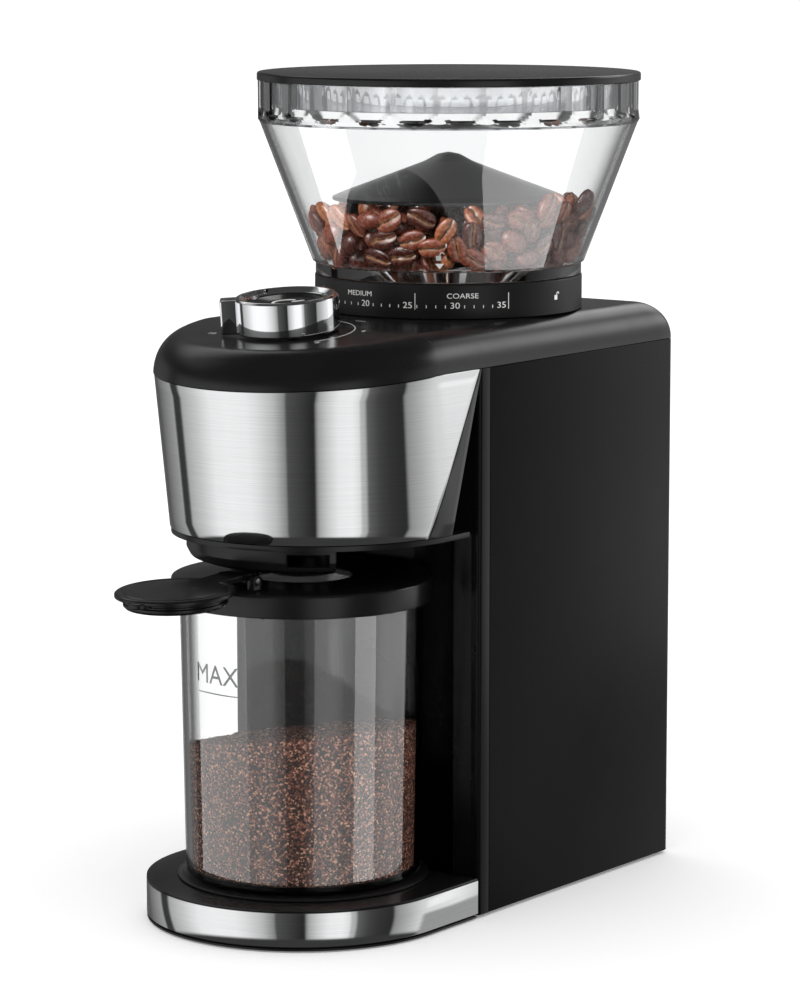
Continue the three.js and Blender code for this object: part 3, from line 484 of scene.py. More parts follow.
def make_materials():
    black = (0.0055, 0.0055, 0.006)
    level_lines = (30, 30, 5200)
    return {
        "satin": moulded("satin_black", black, 0.25),
        # The tower's black is a darker copy of the same black plastic: the darker colour is painted shade
        # for its sides.
        "housing": moulded("shaded_housing_black", (0.0024, 0.0024, 0.0026), 0.26, specular=0.13),
        "soft": moulded("textured_black", black, 0.42, 0.000008, 3400),
        "gloss": moulded("gloss_black", (0.008, 0.008, 0.0085), 0.09, 0.0000005, 900, 0.5),
        "button": moulded("button_black", (0.006, 0.006, 0.007), 0.05, 0.0000003, 900, 0.6),
        "steel": brushed("brushed_steel", (0.76, 0.765, 0.77), 0.06, level_lines, 0.0, 0.0000008),
        "chrome": polished("chrome_plate", (0.86, 0.865, 0.875), 0.035),
        "machined": brushed("machined_steel", (0.58, 0.59, 0.6), 0.3, (60, 60, 1800)),
        "hopper_clear": clear("hopper_clear", (0.985, 0.99, 0.992), 1.5),
        "deflector": moulded("deflector_black", (0.012, 0.012, 0.013), 0.32, 0.000001, 900, 0.5),
        "skirt_clear": clear("skirt_clear", (0.86, 0.87, 0.89), 1.5, Metallic=0.35),
        "jar_clear": clear("jar_clear", (0.985, 0.99, 0.99), 1.5),
        "rubber": moulded("soft_rubber", (0.02, 0.02, 0.02), 0.8, 0.00002, 1500, 0.3),
        "casting": brushed("die_casting", (0.6, 0.6, 0.61), 0.5, (420, 420, 420), 0.0, 0.00006),
        "nylon": moulded("natural_nylon", (0.74, 0.71, 0.62), 0.45, 0.000006, 1500, 0.5),
        "board": board_finish(),
        "copper": brushed("copper_winding", (0.62, 0.3, 0.14), 0.35, (60, 60, 1500)),
        "ferrite": moulded("sintered_ferrite", (0.045, 0.045, 0.048), 0.7, 0.00003, 900, 0.4),
        "bean": bean_finish(),
        "grounds": grounds_finish(),
        "white_print": moulded("white_print", (0.82, 0.82, 0.8), 0.5, 0.000002, 2000, 0.4),
        "grey_print": moulded("grey_print", (0.2, 0.2, 0.205), 0.5, 0.000002, 2000, 0.4),
    }


CAD_FINISH = {
    "black_plastic": "soft", "gloss_black": "gloss", "brushed_steel": "steel", "chrome": "chrome",
    "machined_steel": "machined", "clear_plastic": "jar_clear", "rubber": "rubber",
    "casting": "casting", "nylon": "nylon", "circuit_board": "board", "copper": "copper",
    "ferrite": "ferrite",
}


# ---- Mesh making ----
def shade(obj, sharp=32):
    mesh = obj.data
    mesh.polygons.foreach_set("use_smooth", [True] * len(mesh.polygons))
    mesh.set_sharp_from_angle(angle=sharp * DEG)
    return obj


def solid(name, vertices, faces, sharp=32):
    mesh = bpy.data.meshes.new(name)
    mesh.from_pydata([[c * MM for c in v] for v in vertices], [], faces)
    work = bmesh.new()
    work.from_mesh(mesh)
    bmesh.ops.remove_doubles(work, verts=work.verts, dist=1e-6)
    bmesh.ops.dissolve_degenerate(work, edges=work.edges, dist=1e-7)
    bmesh.ops.recalc_face_normals(work, faces=work.faces)
    work.to_mesh(mesh)
    work.free()
    obj = bpy.data.objects.new(name, mesh)
    bpy.context.scene.collection.objects.link(obj)
    return shade(obj, sharp)


def rounded(points, radius=0.3, steps=3, closed=True):
    """Rounds an outline's corners. A point is (a, b), or (a, b, radius) for a radius of its own."""
    made = []
    count = len(points)
    for i, point in enumerate(points):
        here = Vector(point[:2])
        own = point[2] if len(point) > 2 else radius
        if own == 0 or (not closed and i in (0, count - 1)):
            made.append((here.x, here.y))
            continue
        back = Vector(points[i - 1][:2]) - here
        ahead = Vector(points[(i + 1) % count][:2]) - here
        angle = back.angle(ahead)
        if angle > math.pi - 0.02:
            made.append((here.x, here.y))
            continue
        reach = min(own / math.tan(angle / 2), 0.48 * back.length, 0.48 * ahead.length)
        start = here + back.normalized() * reach
        end = here + ahead.normalized() * reach
        for k in range(steps + 1):
            t = k / steps
            spot = (1 - t) ** 2 * start + 2 * t * (1 - t) * here + t * t * end
            made.append((spot.x, spot.y))
    return made


def lathe(name, profile, y=0.0, x=0.0, sides=128, radius=0.3, steps=3, sharp=32):
    """Turns an outline of (radius, z) points about the vertical line through x, y."""
    on_axis = profile[0][0] == 0 and profile[-1][0] == 0
    outline = rounded(profile, radius, steps, closed=not on_axis)
    rows = len(outline)
    vertices = []
    for i in range(sides):
        angle = 2 * math.pi * i / sides
        c, s = math.cos(angle), math.sin(angle)
        vertices += [(x + r * c, y + r * s, z) for r, z in outline]
    faces = []
    for i in range(sides):
        j = (i + 1) % sides
        for k in range(rows - 1 if on_axis else rows):
            m = (k + 1) % rows
            faces.append((i * rows + k, j * rows + k, j * rows + m, i * rows + m))
    return solid(name, vertices, faces, sharp)


def loft(name, loops):
    """Joins closed loops of equal length with quads, and caps the first and the last."""
    count = len(loops[0])
    vertices = [point for loop in loops for point in loop]
    faces = []
    for level in range(len(loops) - 1):
        for i in range(count):
            j = (i + 1) % count
            low, high = level * count, (level + 1) * count
            faces.append((low + i, low + j, high + j, high + i))
    faces.append(tuple(range(count)))
    faces.append(tuple(range(len(vertices) - count, len(vertices))))
    return solid(name, vertices, faces)


def drum(name, radius, z0, z1, y, x=0.0, sides=128):
    return lathe(name, [(0, z0), (radius, z0), (radius, z1), (0, z1)], y, x, sides, radius=0)


def prism(name, outline, z0, z1):
    return loft(name, [[(x, y, z) for x, y in outline] for z in (z0, z1)])


def across(name, outline, half):
    """A side outline of (y, z) points, run across from -half to half in X."""
    return loft(name, [[(x, y, z) for y, z in outline] for x in (-half, half)])


def block(name, x0, x1, y0, y1, z0, z1):
    return prism(name, [(x0, y0), (x1, y0), (x1, y1), (x0, y1)], z0, z1)


def arc(cx, cy, radius, start, end, steps):
    """Points on an arc, both ends included; angles in degrees."""
    return [
        (cx + radius * math.cos(a * DEG), cy + radius * math.sin(a * DEG))
        for a in (start + (end - start) * i / steps for i in range(steps + 1))
    ]


def nose_outline(half, back_y, steps):
    """Straight sides, with a round nose in front about the container's place."""
    return [(half, back_y)] + arc(0, JAR_Y, half, 0, -180, steps) + [(-half, back_y)]


def nose_slab(name, half, back_y, z0, z1, steps=72):
    return prism(name, nose_outline(half, back_y, steps), z0, z1)


def nose_band(name, outer, inner, back_y, z0, z1):
    ring = nose_outline(outer, back_y, 110) + nose_outline(inner, back_y, 110)[::-1]
    return prism(name, ring, z0, z1)


def combine(target, operation, *tools):
    """Cuts or joins by Boolean and takes the tools away."""
    for tool in tools:
        modifier = target.modifiers.new("boolean", "BOOLEAN")
        modifier.operation = operation
        modifier.solver = "EXACT"
        modifier.object = tool
    return applied(target, *tools)


def applied(target, *tools):
    bpy.context.view_layer.update()
    evaluated = target.evaluated_get(bpy.context.evaluated_depsgraph_get())
    mesh = bpy.data.meshes.new_from_object(evaluated)
    target.modifiers.clear()
    target.data = mesh
    for tool in tools:
        bpy.data.objects.remove(tool)
    return shade(target)


def soften(target, width=0.3, segments=2):
    """Rounds the edges sharper than SHARP_EDGE that a Boolean or a prism leaves."""
    modifier = target.modifiers.new("bevel", "BEVEL")
    modifier.width = width * MM
    modifier.segments = segments
    modifier.limit_method = "ANGLE"
    modifier.angle_limit = SHARP_EDGE
    modifier.use_clamp_overlap = True
    return applied(target)


def moved(target, matrix):
    """Places a piece made in a local frame given in millimetres."""
    scale = Matrix.Scale(MM, 4)
    target.data.transform(scale @ matrix @ scale.inverted())
    return target


def add(piece, finish, body, slot_name, *nodes):
    piece.data.materials.clear()
    piece.data.materials.append(FINISHES[finish])
    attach(piece, body)
    if nodes:
        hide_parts(*nodes)
    return piece


# ---- Casing ----
def deck_drop(y):
    """How far the deck lies below its level part, with a soft bend where it starts to slope."""
    ahead = NOSE_Y - y
    soft = 3.0
    if ahead < -soft:
        return 0.0
    if ahead < soft:
        return math.tan(DECK_TILT) * (ahead + soft) ** 2 / (4 * soft)
    return math.tan(DECK_TILT) * ahead


def seam_height(y):
    return SEAM - SEAM_FALL * max(0.0, NOSE_Y - y)


def cover_stations():
    """The right half of the cover's outline at the seam, from nose tip to back corner."""
    corner = 4.0
    nose_steps, side_steps, corner_steps = 36, 22, 5
    stations = arc(0, NOSE_Y, HALF_WIDTH, -90, 0, nose_steps)
    stations += [
        (HALF_WIDTH, NOSE_Y + (BACK_Y - corner - NOSE_Y) * i / side_steps) for i in range(1, side_steps)]
    return stations + arc(HALF_WIDTH - corner, BACK_Y - corner, corner, 0, 90, corner_steps)


def cover_profile(station, inset, rows):
    """Points from just inside the deck's edge, down the rounded shoulder to the seam."""
    x, y = station

    def spot(t, rim=0.0):
        drawn_in = FILLET_IN * (1 - math.sin(t)) + inset + rim
        across_scale = (HALF_WIDTH - drawn_in) / HALF_WIDTH
        along_scale = (BACK_Y - NOSE_Y - drawn_in) / (BACK_Y - NOSE_Y) if y > NOSE_Y else across_scale
        px, py = x * across_scale, NOSE_Y + (y - NOSE_Y) * along_scale
        return px, py, DECK - inset - deck_drop(py) - FILLET_DOWN * (1 - math.cos(t))

    low, high = 0.0, math.pi / 2
    for _ in range(30):
        t = (low + high) / 2
        _, py, z = spot(t)
        low, high = (t, high) if z > seam_height(py) else (low, t)
    points = [spot(0.0, 0.6)] + [spot(low * i / rows) for i in range(rows + 1)]
    px, py, _ = points[-1]
    points.append((px, py, seam_height(py)))
    return points


def make_top_cover():
    rows = 16
    depth = rows + 3
    vertices, faces, rims, tops = [], [], [], []
    for inset in (0.0, WALL):
        right = [cover_profile(station, inset, rows) for station in cover_stations()]
        left = [[(-x, y, z) for x, y, z in column] for column in right[1:]]
        columns = right + left[::-1]
        base = len(vertices)
        vertices += [p for column in columns for p in column]
        count = len(columns)
        for i in range(count):
            j = (i + 1) % count
            for k in range(depth - 1):
                a, b = base + i * depth + k, base + j * depth + k
                faces.append((a, b, b + 1, a + 1))
        rims.append([base + i * depth + depth - 1 for i in range(count)])
        tops.append([base + i * depth for i in range(count)])
    for top in tops:
        count = len(top)
        for i in range(count // 2):
            right_pair, left_pair = (top[i], top[i + 1]), (top[-i - 1], top[-i])
            faces.append((*right_pair, *left_pair) if i else (*right_pair, top[-1]))
    outer, inner = rims
    for i in range(len(outer)):
        j = (i + 1) % len(outer)
        faces.append((outer[i], outer[j], inner[j], inner[i]))
    cover = solid("top_cover_shell", vertices, faces, 30)
    hole = drum("hole", 50, 200, 260, BURR_Y)
    shaft = drum("shaft", 4.2, 200, 260, KNOB_Y, sides=32)
    add(combine(cover, "DIFFERENCE", hole, shaft), "satin", "body", "black_plastic", "top_cover")


def head_spot(x, y, z):
    """Where a point of the head's upper outline lies at height z, as the head narrows downward."""
    down = (SEAM - z) / (SEAM - HEAD_BOTTOM)
    low_y = HEAD_LOW_Y + (y - NOSE_Y) * HEAD_STRETCH
    return x * (1 + down * (HEAD_NARROWING - 1)), y + down * (low_y - y), z


def head_unspot(x, y, z):
    """The upper outline's point that head_spot moved to x, y."""
    down = (SEAM - z) / (SEAM - HEAD_BOTTOM)
    up_y = (y - down * (HEAD_LOW_Y - NOSE_Y * HEAD_STRETCH)) / (1 - down + down * HEAD_STRETCH)
    return x / (1 + down * (HEAD_NARROWING - 1)), up_y


def head_path(z, rear, inset, steps=96):
    """The head's outline at height z, from its rear edge on one side round the nose to the other."""
    start = head_unspot(0, rear, z)[1]
    half = HALF_WIDTH - inset
    straight = max(0.0, start - NOSE_Y)
    swing = math.asin(max(0.0, NOSE_Y - start) / half)
    bend = half * (math.pi - 2 * swing)
    total = 2 * straight + bend
    path = []
    for i in range(steps + 1):
        s = total * i / steps
        if s < straight:
            x, y = half, start - s
        elif s > straight + bend:
            x, y = -half, NOSE_Y + (s - straight - bend)
        else:
            a = -swing - (s - straight) / half
            x, y = half * math.cos(a), NOSE_Y + half * math.sin(a)
        path.append(head_spot(x, y, z))
    return path


def head_levels(count=12):
    """Heights from the head's bottom to just under the dipping seam, as functions of y."""
    return [
        lambda y, t=i / count: HEAD_BOTTOM + t * (seam_height(y) - GAP - HEAD_BOTTOM)
        for i in range(count + 1)
    ]


def slant(top_y, low_y, z):
    return low_y + (top_y - low_y) * (z - HEAD_BOTTOM) / (SEAM + 1 - HEAD_BOTTOM)


def at_seam(points, level):
    """Moves a path's points to the level's own height, sliding them along the narrowing head."""
    return [head_spot(*head_unspot(x, y, z), level(y)) for x, y, z in points]


def head_shell(name, rear_top, rear_low, outer, inner):
    """A shell of the head in front of a slanted rear edge, between two insets."""
    loops = []
    for level in head_levels():
        middle_z = level(NOSE_Y)
        rear = slant(rear_top, rear_low, middle_z)
        front = at_seam(head_path(middle_z, rear, outer), level)
        back = at_seam(head_path(middle_z, rear, inner), level)
        loops.append(front + back[::-1])
    return loft(name, loops)


def make_head():
    fascia = head_shell("fascia_sheet", -3, -34, 0, 0.8)
    add(soften(fascia, 0.22, 2), "steel", "body", "brushed_steel", "steel_fascia")
    cheek = head_shell("cheek", -2.2, -20, 0, 3.3)
    pocket = head_shell("pocket", -2.7, -33.7, -1, 1.1)
    cheek = combine(cheek, "DIFFERENCE", pocket)
    add(soften(cheek, 0.2, 2), "gloss", "body", "gloss_black", "head_housing")

    low, high = 155.5, HEAD_BOTTOM - GAP
    rim = [(x, y) for x, y, _ in head_path(high, -6, 0.4, 120)]
    lower = prism("head_underside", rim, low, high)
    lower = combine(lower, "UNION", block("tongue", -49, 49, -12, 30, low, high))
    keep = drum("keep", RECESS_R - GAP, 150, 160, JAR_Y)
    keep = combine(keep, "UNION", block("front", -80, 80, -120, STRIP_FRONT - 4, 150, 160))
    lower = combine(lower, "INTERSECT", keep)
    lower = combine(lower, "DIFFERENCE", drum("nozzle", NOZZLE_R + GAP, 150, 160, JAR_Y, sides=48))
    add(soften(lower, 0.35, 3), "satin", "body", "black_plastic", "head_bottom_cover")


def make_shroud():
    """The bowl under the head that guides the grounds, open at its right rear."""
    profile = rounded([
        (12, 145, 0), (44, 145, 3), (48.6, 146.6, 2.5), (SHROUD_R, 150, 2), (SHROUD_R, 155.2, 0.2),
        (SHROUD_R - WALL, 155.2, 0.2), (SHROUD_R - WALL, 151, 1.5), (46.5, 148.4, 1.5),
        (43.5, 147.2, 2), (12, 147.2, 0),
    ], 0.2, 4)
    loops = []
    steps = 110
    for i in range(steps + 1):
        a = (-200 + 158 * i / steps) * DEG
        loops.append([(r * math.cos(a), NOSE_Y + r * math.sin(a), z) for r, z in profile])
    bowl = loft("shroud_bowl", loops)
    window = prism(
        "window", arc(0, NOSE_Y, 45.5, -64, -45, 8) + arc(0, NOSE_Y, 60, -45, -64, 8), 148.4, 153.4)
    bore = drum("bore", NOZZLE_R + GAP, 140, 160, JAR_Y, sides=48)
    bowl = combine(bowl, "DIFFERENCE", window, bore)
    add(soften(bowl, 0.25, 2), "satin", "body", "black_plastic", "spout_shroud")


def make_chute():
    """The spout's nozzle, with an inclined arm from the burr chamber."""
    arm_z, rise = 166, 28 / 67

    def tunnel(name, up, half, low, high):
        ends = [(low, -up), (high, -up), (high, up), (low, up)]
        return across(name, [(y, arm_z + (y - JAR_Y) * rise + off) for y, off in ends], half)

    tube = lathe("chute", [
        (0, 139.6, 0.5), (NOZZLE_R, 139.6, 0.5), (NOZZLE_R, 179), (0, 179),
    ], JAR_Y, sides=64)
    tube = combine(tube, "UNION", tunnel("arm", 7.5, 11, JAR_Y, 26.9))
    bore = drum("bore", 11.2, 130, 177, JAR_Y, sides=64)
    bore = combine(bore, "UNION", tunnel("way", 5.8, 9, JAR_Y + 0.4, 27.9))
    tube = combine(tube, "DIFFERENCE", bore)
    add(soften(tube, 0.3, 2), "satin", "body", "black_plastic", "grounds_chute")


def through_back(name, outline):
    """A cutter with an outline of (x, z) points, through the tower's back wall."""
    return loft(name, [[(x, y, z) for x, z in outline] for y in (BACK_Y - 5, BACK_Y + 1)])


def make_tower():
    inner = HALF_WIDTH - WALL
    edge = math.atan2(STRIP_FRONT - 2.5 - JAR_Y, 52) / DEG
    right = rounded([
        (HALF_WIDTH, SPLIT_Y, 0.25), (HALF_WIDTH, STRIP_FRONT, 2.4), (HALF_WIDTH - 4, STRIP_FRONT, 1.2),
        arc(0, JAR_Y, RECESS_R, edge, edge, 1)[0],
    ], 0.0, 6, closed=False)
    outline = (
        right[:-1] + arc(0, JAR_Y, RECESS_R, edge, 180 - edge, 72)
        + [(-x, y) for x, y in right[:-1]][::-1]
        + [(-inner, SPLIT_Y), (-inner, -0.7)]
        + arc(0, JAR_Y, RECESS_R + WALL, 180 - edge, edge, 72)
        + [(inner, -0.7), (inner, SPLIT_Y)]
    )
    panel = prism("tower_front", outline, PLATE_BOTTOM, SEAM - GAP)
    cutters = [
        block("base_zone", -60.5, 60.5, -30, 60, 0, BASE_TOP + GAP),
        across("head_zone", [(-120, 157.9), (-19.7, 157.9), (-1.9, SEAM + 1), (-120, SEAM + 1)], 100),
        block("chute_zone", -13, 13, 10, 40, 180, 203),
    ]
    panel = combine(panel, "DIFFERENCE", *cutters)
    necks = [block("neck", x - 1.3, x + 1.3, -24, -3.5, 158.2, 214) for x in (-51.6, 51.6)]
    panel = combine(panel, "UNION", *necks)
    add(soften(panel, 0.2, 2), "housing", "body", "black_plastic", "front_panel")

    corner = 4
    start = SPLIT_Y + GAP
    shell = (
        [(HALF_WIDTH, start)] + arc(HALF_WIDTH - corner, BACK_Y - corner, corner, 0, 90, 8)
        + arc(-HALF_WIDTH + corner, BACK_Y - corner, corner, 90, 180, 8) + [(-HALF_WIDTH, start)]
        + [(-inner, start), (-inner, BACK_Y - WALL), (inner, BACK_Y - WALL), (inner, start)]
    )
    rear = prism("tower_rear", shell, PLATE_BOTTOM, SEAM - GAP)
    slots = []
    count, pitch, half_slot = 9, 7, 1.5
    for i in range(count):
        x = (i - (count - 1) / 2) * pitch
        top = arc(x, 104 - half_slot, half_slot, 0, 180, 8)
        slots.append(through_back("slot", top + arc(x, 62 + half_slot, half_slot, 180, 360, 8)))
    hole = through_back("inlet", arc(CORD_X, CORD_Z, 5.6, 0, 345, 23))
    rear = combine(rear, "DIFFERENCE", *slots, hole)
    add(soften(rear, 0.3, 2), "housing", "body", "black_plastic", "rear_housing")

    bushing = lathe("inlet_bushing", [
        (3.4, -6), (5.3, -6), (5.3, 0), (7.4, 0, 0.4), (7, 2.4, 0.6), (3.4, 2.4, 0.5),
    ], sides=48)
    turn = Matrix.Translation((CORD_X, BACK_Y + GAP, CORD_Z)) @ Matrix.Rotation(-math.pi / 2, 4, "X")
    add(moved(bushing, turn), "rubber", "body", "rubber", "cord_bushing")


# ---- Base ----
FEET = ["foot_front_left", "foot_front_right", "foot_rear_left", "foot_rear_right"]
SCREWS = ["case_screw_1", "case_screw_2", "case_screw_3", "case_screw_4"]


def make_base():
    nose_half, body_half = HALF_WIDTH - 1.1, 60.2
    nose_back, ceiling = STRIP_FRONT - 1, BASE_TOP - WALL
    low = PLATE_BOTTOM + GAP
    cover = nose_slab("base_top", nose_half, nose_back, low, BASE_TOP - 0.4)
    deck = block("deck", -body_half, body_half, -20, BACK_Y - 2.8, low, BASE_TOP)
    lip = nose_slab("lip", HALF_WIDTH - 0.05, nose_back, 16.2, BASE_TOP, 110)
    cover = combine(cover, "UNION", deck, lip)
    hollow = nose_slab("hollow", nose_half - WALL, STRIP_FRONT - 3, 0, ceiling)
    well = block("well", -body_half + WALL, body_half - WALL, -20, BACK_Y - 5.3, 0, ceiling)
    hollow = combine(hollow, "UNION", well)
    cover = combine(cover, "DIFFERENCE", hollow)
    for spot in map(middle, SCREWS):
        post = lathe("post", [(1.9, 4.3), (5, 4.3), (5, 15), (1.9, 15)], spot.y, spot.x, 24, radius=0)
        cover = combine(cover, "UNION", post)
    add(soften(cover, 0.3, 3), "satin", "body", "black_plastic", "base_cover")

    band = nose_band("base_band", HALF_WIDTH, HALF_WIDTH - 0.8, STRIP_FRONT - GAP, 2.3, 15.9)
    add(soften(band, 0.2, 2), "steel", "body", "brushed_steel", "base_trim_band")

    plate_half, plate_top = nose_half - WALL - GAP, 4
    plate = nose_slab("base_plate_tray", plate_half, nose_back, PLATE_BOTTOM, plate_top)
    rear = block("rear", -57.4, 57.4, -20, BACK_Y - 5.6, PLATE_BOTTOM, plate_top)
    skirt = nose_band(
        "skirt", HALF_WIDTH - 0.15, plate_half - 0.5, nose_back, 0.7, PLATE_BOTTOM + 0.1)
    plate = combine(plate, "UNION", rear, skirt)
    screw_hole = [(0, 0), (3.6, 0), (3.6, 3), (1.9, 3), (1.9, 5), (0, 5)]
    wells = [lathe("well", screw_hole, spot.y, spot.x, 32, radius=0) for spot in map(middle, SCREWS)]
    wells += [drum("well", 3.4, 0, 5, spot.y, spot.x, 32) for spot in map(middle, FEET)]
    plate = combine(plate, "DIFFERENCE", *wells)
    add(soften(plate, 0.15, 2), "soft", "body", "black_plastic", "base_plate")

    for foot in FEET:
        spot = middle(foot)
        pad = lathe(f"{foot}_pad", [
            (0, 0), (8, 0, 0.5), (8, 1.1, 0.3), (3, 1.1), (3, 6, 0.8), (0, 6),
        ], spot.y, spot.x, 48)
        add(pad, "rubber", "body", "rubber", foot)

    low, high = span("container_seat")
    seat = lathe("seat_ring", [
        (30, low.z), (50.5, low.z), (50.5, high.z, 0.3), (48.5, high.z, 0.3), (47.8, high.z - 0.35),
        (33, high.z - 0.35), (32, high.z, 0.3), (30, high.z, 0.3),
    ], JAR_Y, sides=160)
    add(seat, "soft", "body", "rubber", "container_seat")


# ---- Container ----
def make_container():
    jar = lathe("jar_wall", [
        (0, 18.3), (45.4, 18.3, 1.2), (47, 19.9, 1.2), (48.8, 129.4, 0), (48.8, 134.5, 0.3),
        (46.6, 134.5, 0.3), (46.6, 129.4, 0), (44.8, 22, 1.4), (43.4, 20.7, 1.2), (0, 20.7),
    ], JAR_Y, sides=192, steps=5)
    add(jar, "jar_clear", "container", "clear_plastic", "container_jar")

    lid = lathe("lid_ring", [
        (20, 136.3, 0.3), (46, 136.3), (46, 134.8), (49.2, 134.8), (49.2, 129.4, 0.3),
        (52.2, 129.4, 0.4), (52.2, 138.7, 1.3), (20, 138.7, 0.5),
    ], JAR_Y, sides=192, steps=4)
    ear_front, ear_back, ear_foot, ear_top = HINGE_Y - 2.6, HINGE_Y + 2.6, 137.8, 144.2
    outline = rounded([
        (ear_front, ear_foot, 0), (ear_front, ear_top, 2.3),
        (ear_back, ear_top, 2.3), (ear_back, ear_foot, 0),
    ], 0, 5)
    for x in (-7.6, 7.6):
        ear = loft("ear", [[(px, y, z) for y, z in outline] for px in (x - 1.6, x + 1.6)])
        lid = combine(lid, "UNION", ear)
    lid = combine(lid, "DIFFERENCE", across("bore", arc(HINGE_Y, HINGE_Z, 1.5, 0, 337.5, 15), 12))
    add(soften(lid, 0.25, 2), "satin", "container", "black_plastic", "container_lid")

    pin = lathe("hinge_pin", [(0, -9.4), (1.2, -9.4, 0.3), (1.2, 9.4, 0.3), (0, 9.4)], sides=24)
    lay = Matrix.Translation((0, HINGE_Y, HINGE_Z)) @ Matrix.Rotation(math.pi / 2, 4, "Y")
    add(moved(pin, lay), "machined", "container", "machined_steel", "cap_hinge_pin")

    add(max_mark(), "grey_print", "container", "black_plastic")


def make_cap():
    reach = 39.3
    disc = lathe("cap_disc", [
        (0, -3.2), (19.2, -3.2, 0.4), (20.2, -2.2, 0.4), (20.2, -1.2, 0.2),
        (19.6, -0.9, 0.2), (19.6, -0.3, 0.2),
        (20.2, 0, 0.2), (20.2, 1, 0.2), (23.4, 1.2, 0.3), (23.4, 2.5, 0.6), (22.7, 3, 0.6), (20.9, 3, 0.25),
        (20.5, 2.75, 0.2), (20.0, 2.75, 0.2), (19.6, 3, 0.25), (10, 3.0, 2), (0, 2.85),
    ], -reach, sides=128, radius=0.2)
    arm_outline = rounded([
        (-5.4, -24.3, 0), (-5.4, -1.5, 0), (5.4, -1.5, 0), (5.4, -24.3, 0), (4.2, -27, 0), (-4.2, -27, 0),
    ], 0)
    arm = prism("arm", arm_outline, 0.6, 3)
    knuckle = across("knuckle", arc(0, 0, 2.8, 0, 350, 35), 5.4)
    tab = lathe("tab", [(0, -0.2), (4.6, -0.2, 0.6), (4.6, 2, 0.9), (0, 2)], -reach - 21.1, sides=48)
    disc = combine(disc, "UNION", arm, knuckle, tab)
    disc = combine(disc, "DIFFERENCE", across("bore", arc(0, 0, 1.5, 0, 337.5, 15), 12))
    add(moved(soften(disc, 0.25, 2), CAP_FRAME), "satin", "cap", "black_plastic", "flip_cap")


# ---- Knob and start button ----
def make_knob():
    skirt = lathe("knob_skirt", [
        (3.5, 0.8), (20, 0.8, 0.3), (20.5, 1.4, 0.3), (20.5, 14, 0.5), (19.7, 14.8, 0.6), (18.6, 14.8, 0.4),
        (16.7, 13.2, 0.6), (16.4, 12, 0.3), (16.4, 3.2), (3.5, 3.2),
    ], sides=160, steps=4)
    outline = rounded([(18.6, -4.5, 0), (26.2, -4.5, 0.9), (26.2, 4.5, 0.9), (18.6, 4.5, 0)], 0, 5)
    lug = prism("lug", outline, 0.8, 14.3)
    lug = moved(soften(lug, 0.5, 3), Matrix.Rotation(216 * DEG, 4, "Z"))
    skirt = combine(skirt, "UNION", lug)
    add(moved(skirt, KNOB_FRAME), "chrome", "knob", "chrome", "timer_knob")

    button = lathe("button_dish", [
        (0, -11.5), (1.9, -11.5), (1.9, 9.4), (15.1, 9.4), (16.1, 9.9), (16.1, 12.6, 0.5), (15.1, 13.1, 0.5),
        (13.6, 12.7, 0.8), (8, 11.9, 3), (0, 11.6),
    ], sides=128, steps=4)
    add(moved(button, KNOB_FRAME), "button", "button", "gloss_black", "start_button")

    stroke, ring_r, foot, top = 0.55, 5.4, 11.75, 11.95
    band = arc(0, 0, ring_r + stroke, 125, 415, 48) + arc(0, 0, ring_r - stroke, 415, 125, 48)
    sign = prism("power_sign", band, foot, top)
    sign = combine(sign, "UNION", block("bar", -stroke, stroke, 2.2, 7.2, foot, top))
    add(moved(sign, KNOB_FRAME @ Matrix.Rotation(-35 * DEG, 4, "Z")), "white_print", "button", "gloss_black")


def flat_text(text, size, wide=1.2):
    """A text's outline as a thin solid in the XY plane, middle at the origin, in millimetres."""
    curve = bpy.data.curves.new("lettering", "FONT")
    curve.body = text
    curve.size = size
    curve.align_x = "CENTER"
    curve.align_y = "CENTER"
    curve.extrude = 0.03
    curve.resolution_u = 4
    holder = bpy.data.objects.new("lettering", curve)
    bpy.context.scene.collection.objects.link(holder)
    bpy.context.view_layer.update()
    mesh = bpy.data.meshes.new_from_object(holder.evaluated_get(bpy.context.evaluated_depsgraph_get()))
    bpy.data.objects.remove(holder)
    vertices = [(wide * v.co.x, v.co.y, v.co.z) for v in mesh.vertices]
    faces = [tuple(p.vertices) for p in mesh.polygons]
    bpy.data.meshes.remove(mesh)
    return vertices, faces


def flat_shape(outline):
    count = len(outline)
    vertices = [(x, y, z) for z in (-0.03, 0.03) for x, y in outline]
    faces = [tuple(range(count)), tuple(range(count, 2 * count))]
    faces += [(i, (i + 1) % count, (i + 1) % count + count, i + count) for i in range(count)]
    return vertices, faces


def bar_shape(x0, x1, y0, y1):
    return flat_shape([(x0, y0), (x1, y0), (x1, y1), (x0, y1)])


def padlock(scale):
    """An open padlock: a body and a shackle swung up to one side."""
    body = bar_shape(-0.75 * scale, 0.35 * scale, -1 * scale, 0.1 * scale)
    outer = arc(0.55 * scale, 0.35 * scale, 0.55 * scale, 180, 0, 8)
    inner = arc(0.55 * scale, 0.35 * scale, 0.3 * scale, 0, 180, 8)
    shackle = flat_shape([(0.0, 0.0)] + outer + inner + [(0.25 * scale, 0.0)])
    return merged([body, shackle])


def merged(parts):
    vertices, faces = [], []
    for part_vertices, part_faces in parts:
        base = len(vertices)
        vertices += part_vertices
        faces += [tuple(base + i for i in face) for face in part_faces]
    return vertices, faces


def wrapped(part, radius, y, azimuth, z, lean=0.0):
    """Wraps a flat shape round a vertical wall, whose radius grows by lean for each unit up."""
    vertices, faces = part
    made = []
    for px, py, pz in vertices:
        r = radius + lean * py + 0.04 + pz
        a = azimuth * DEG + px / radius
        made.append((r * math.cos(a), y + r * math.sin(a), z + py))
    return made, faces


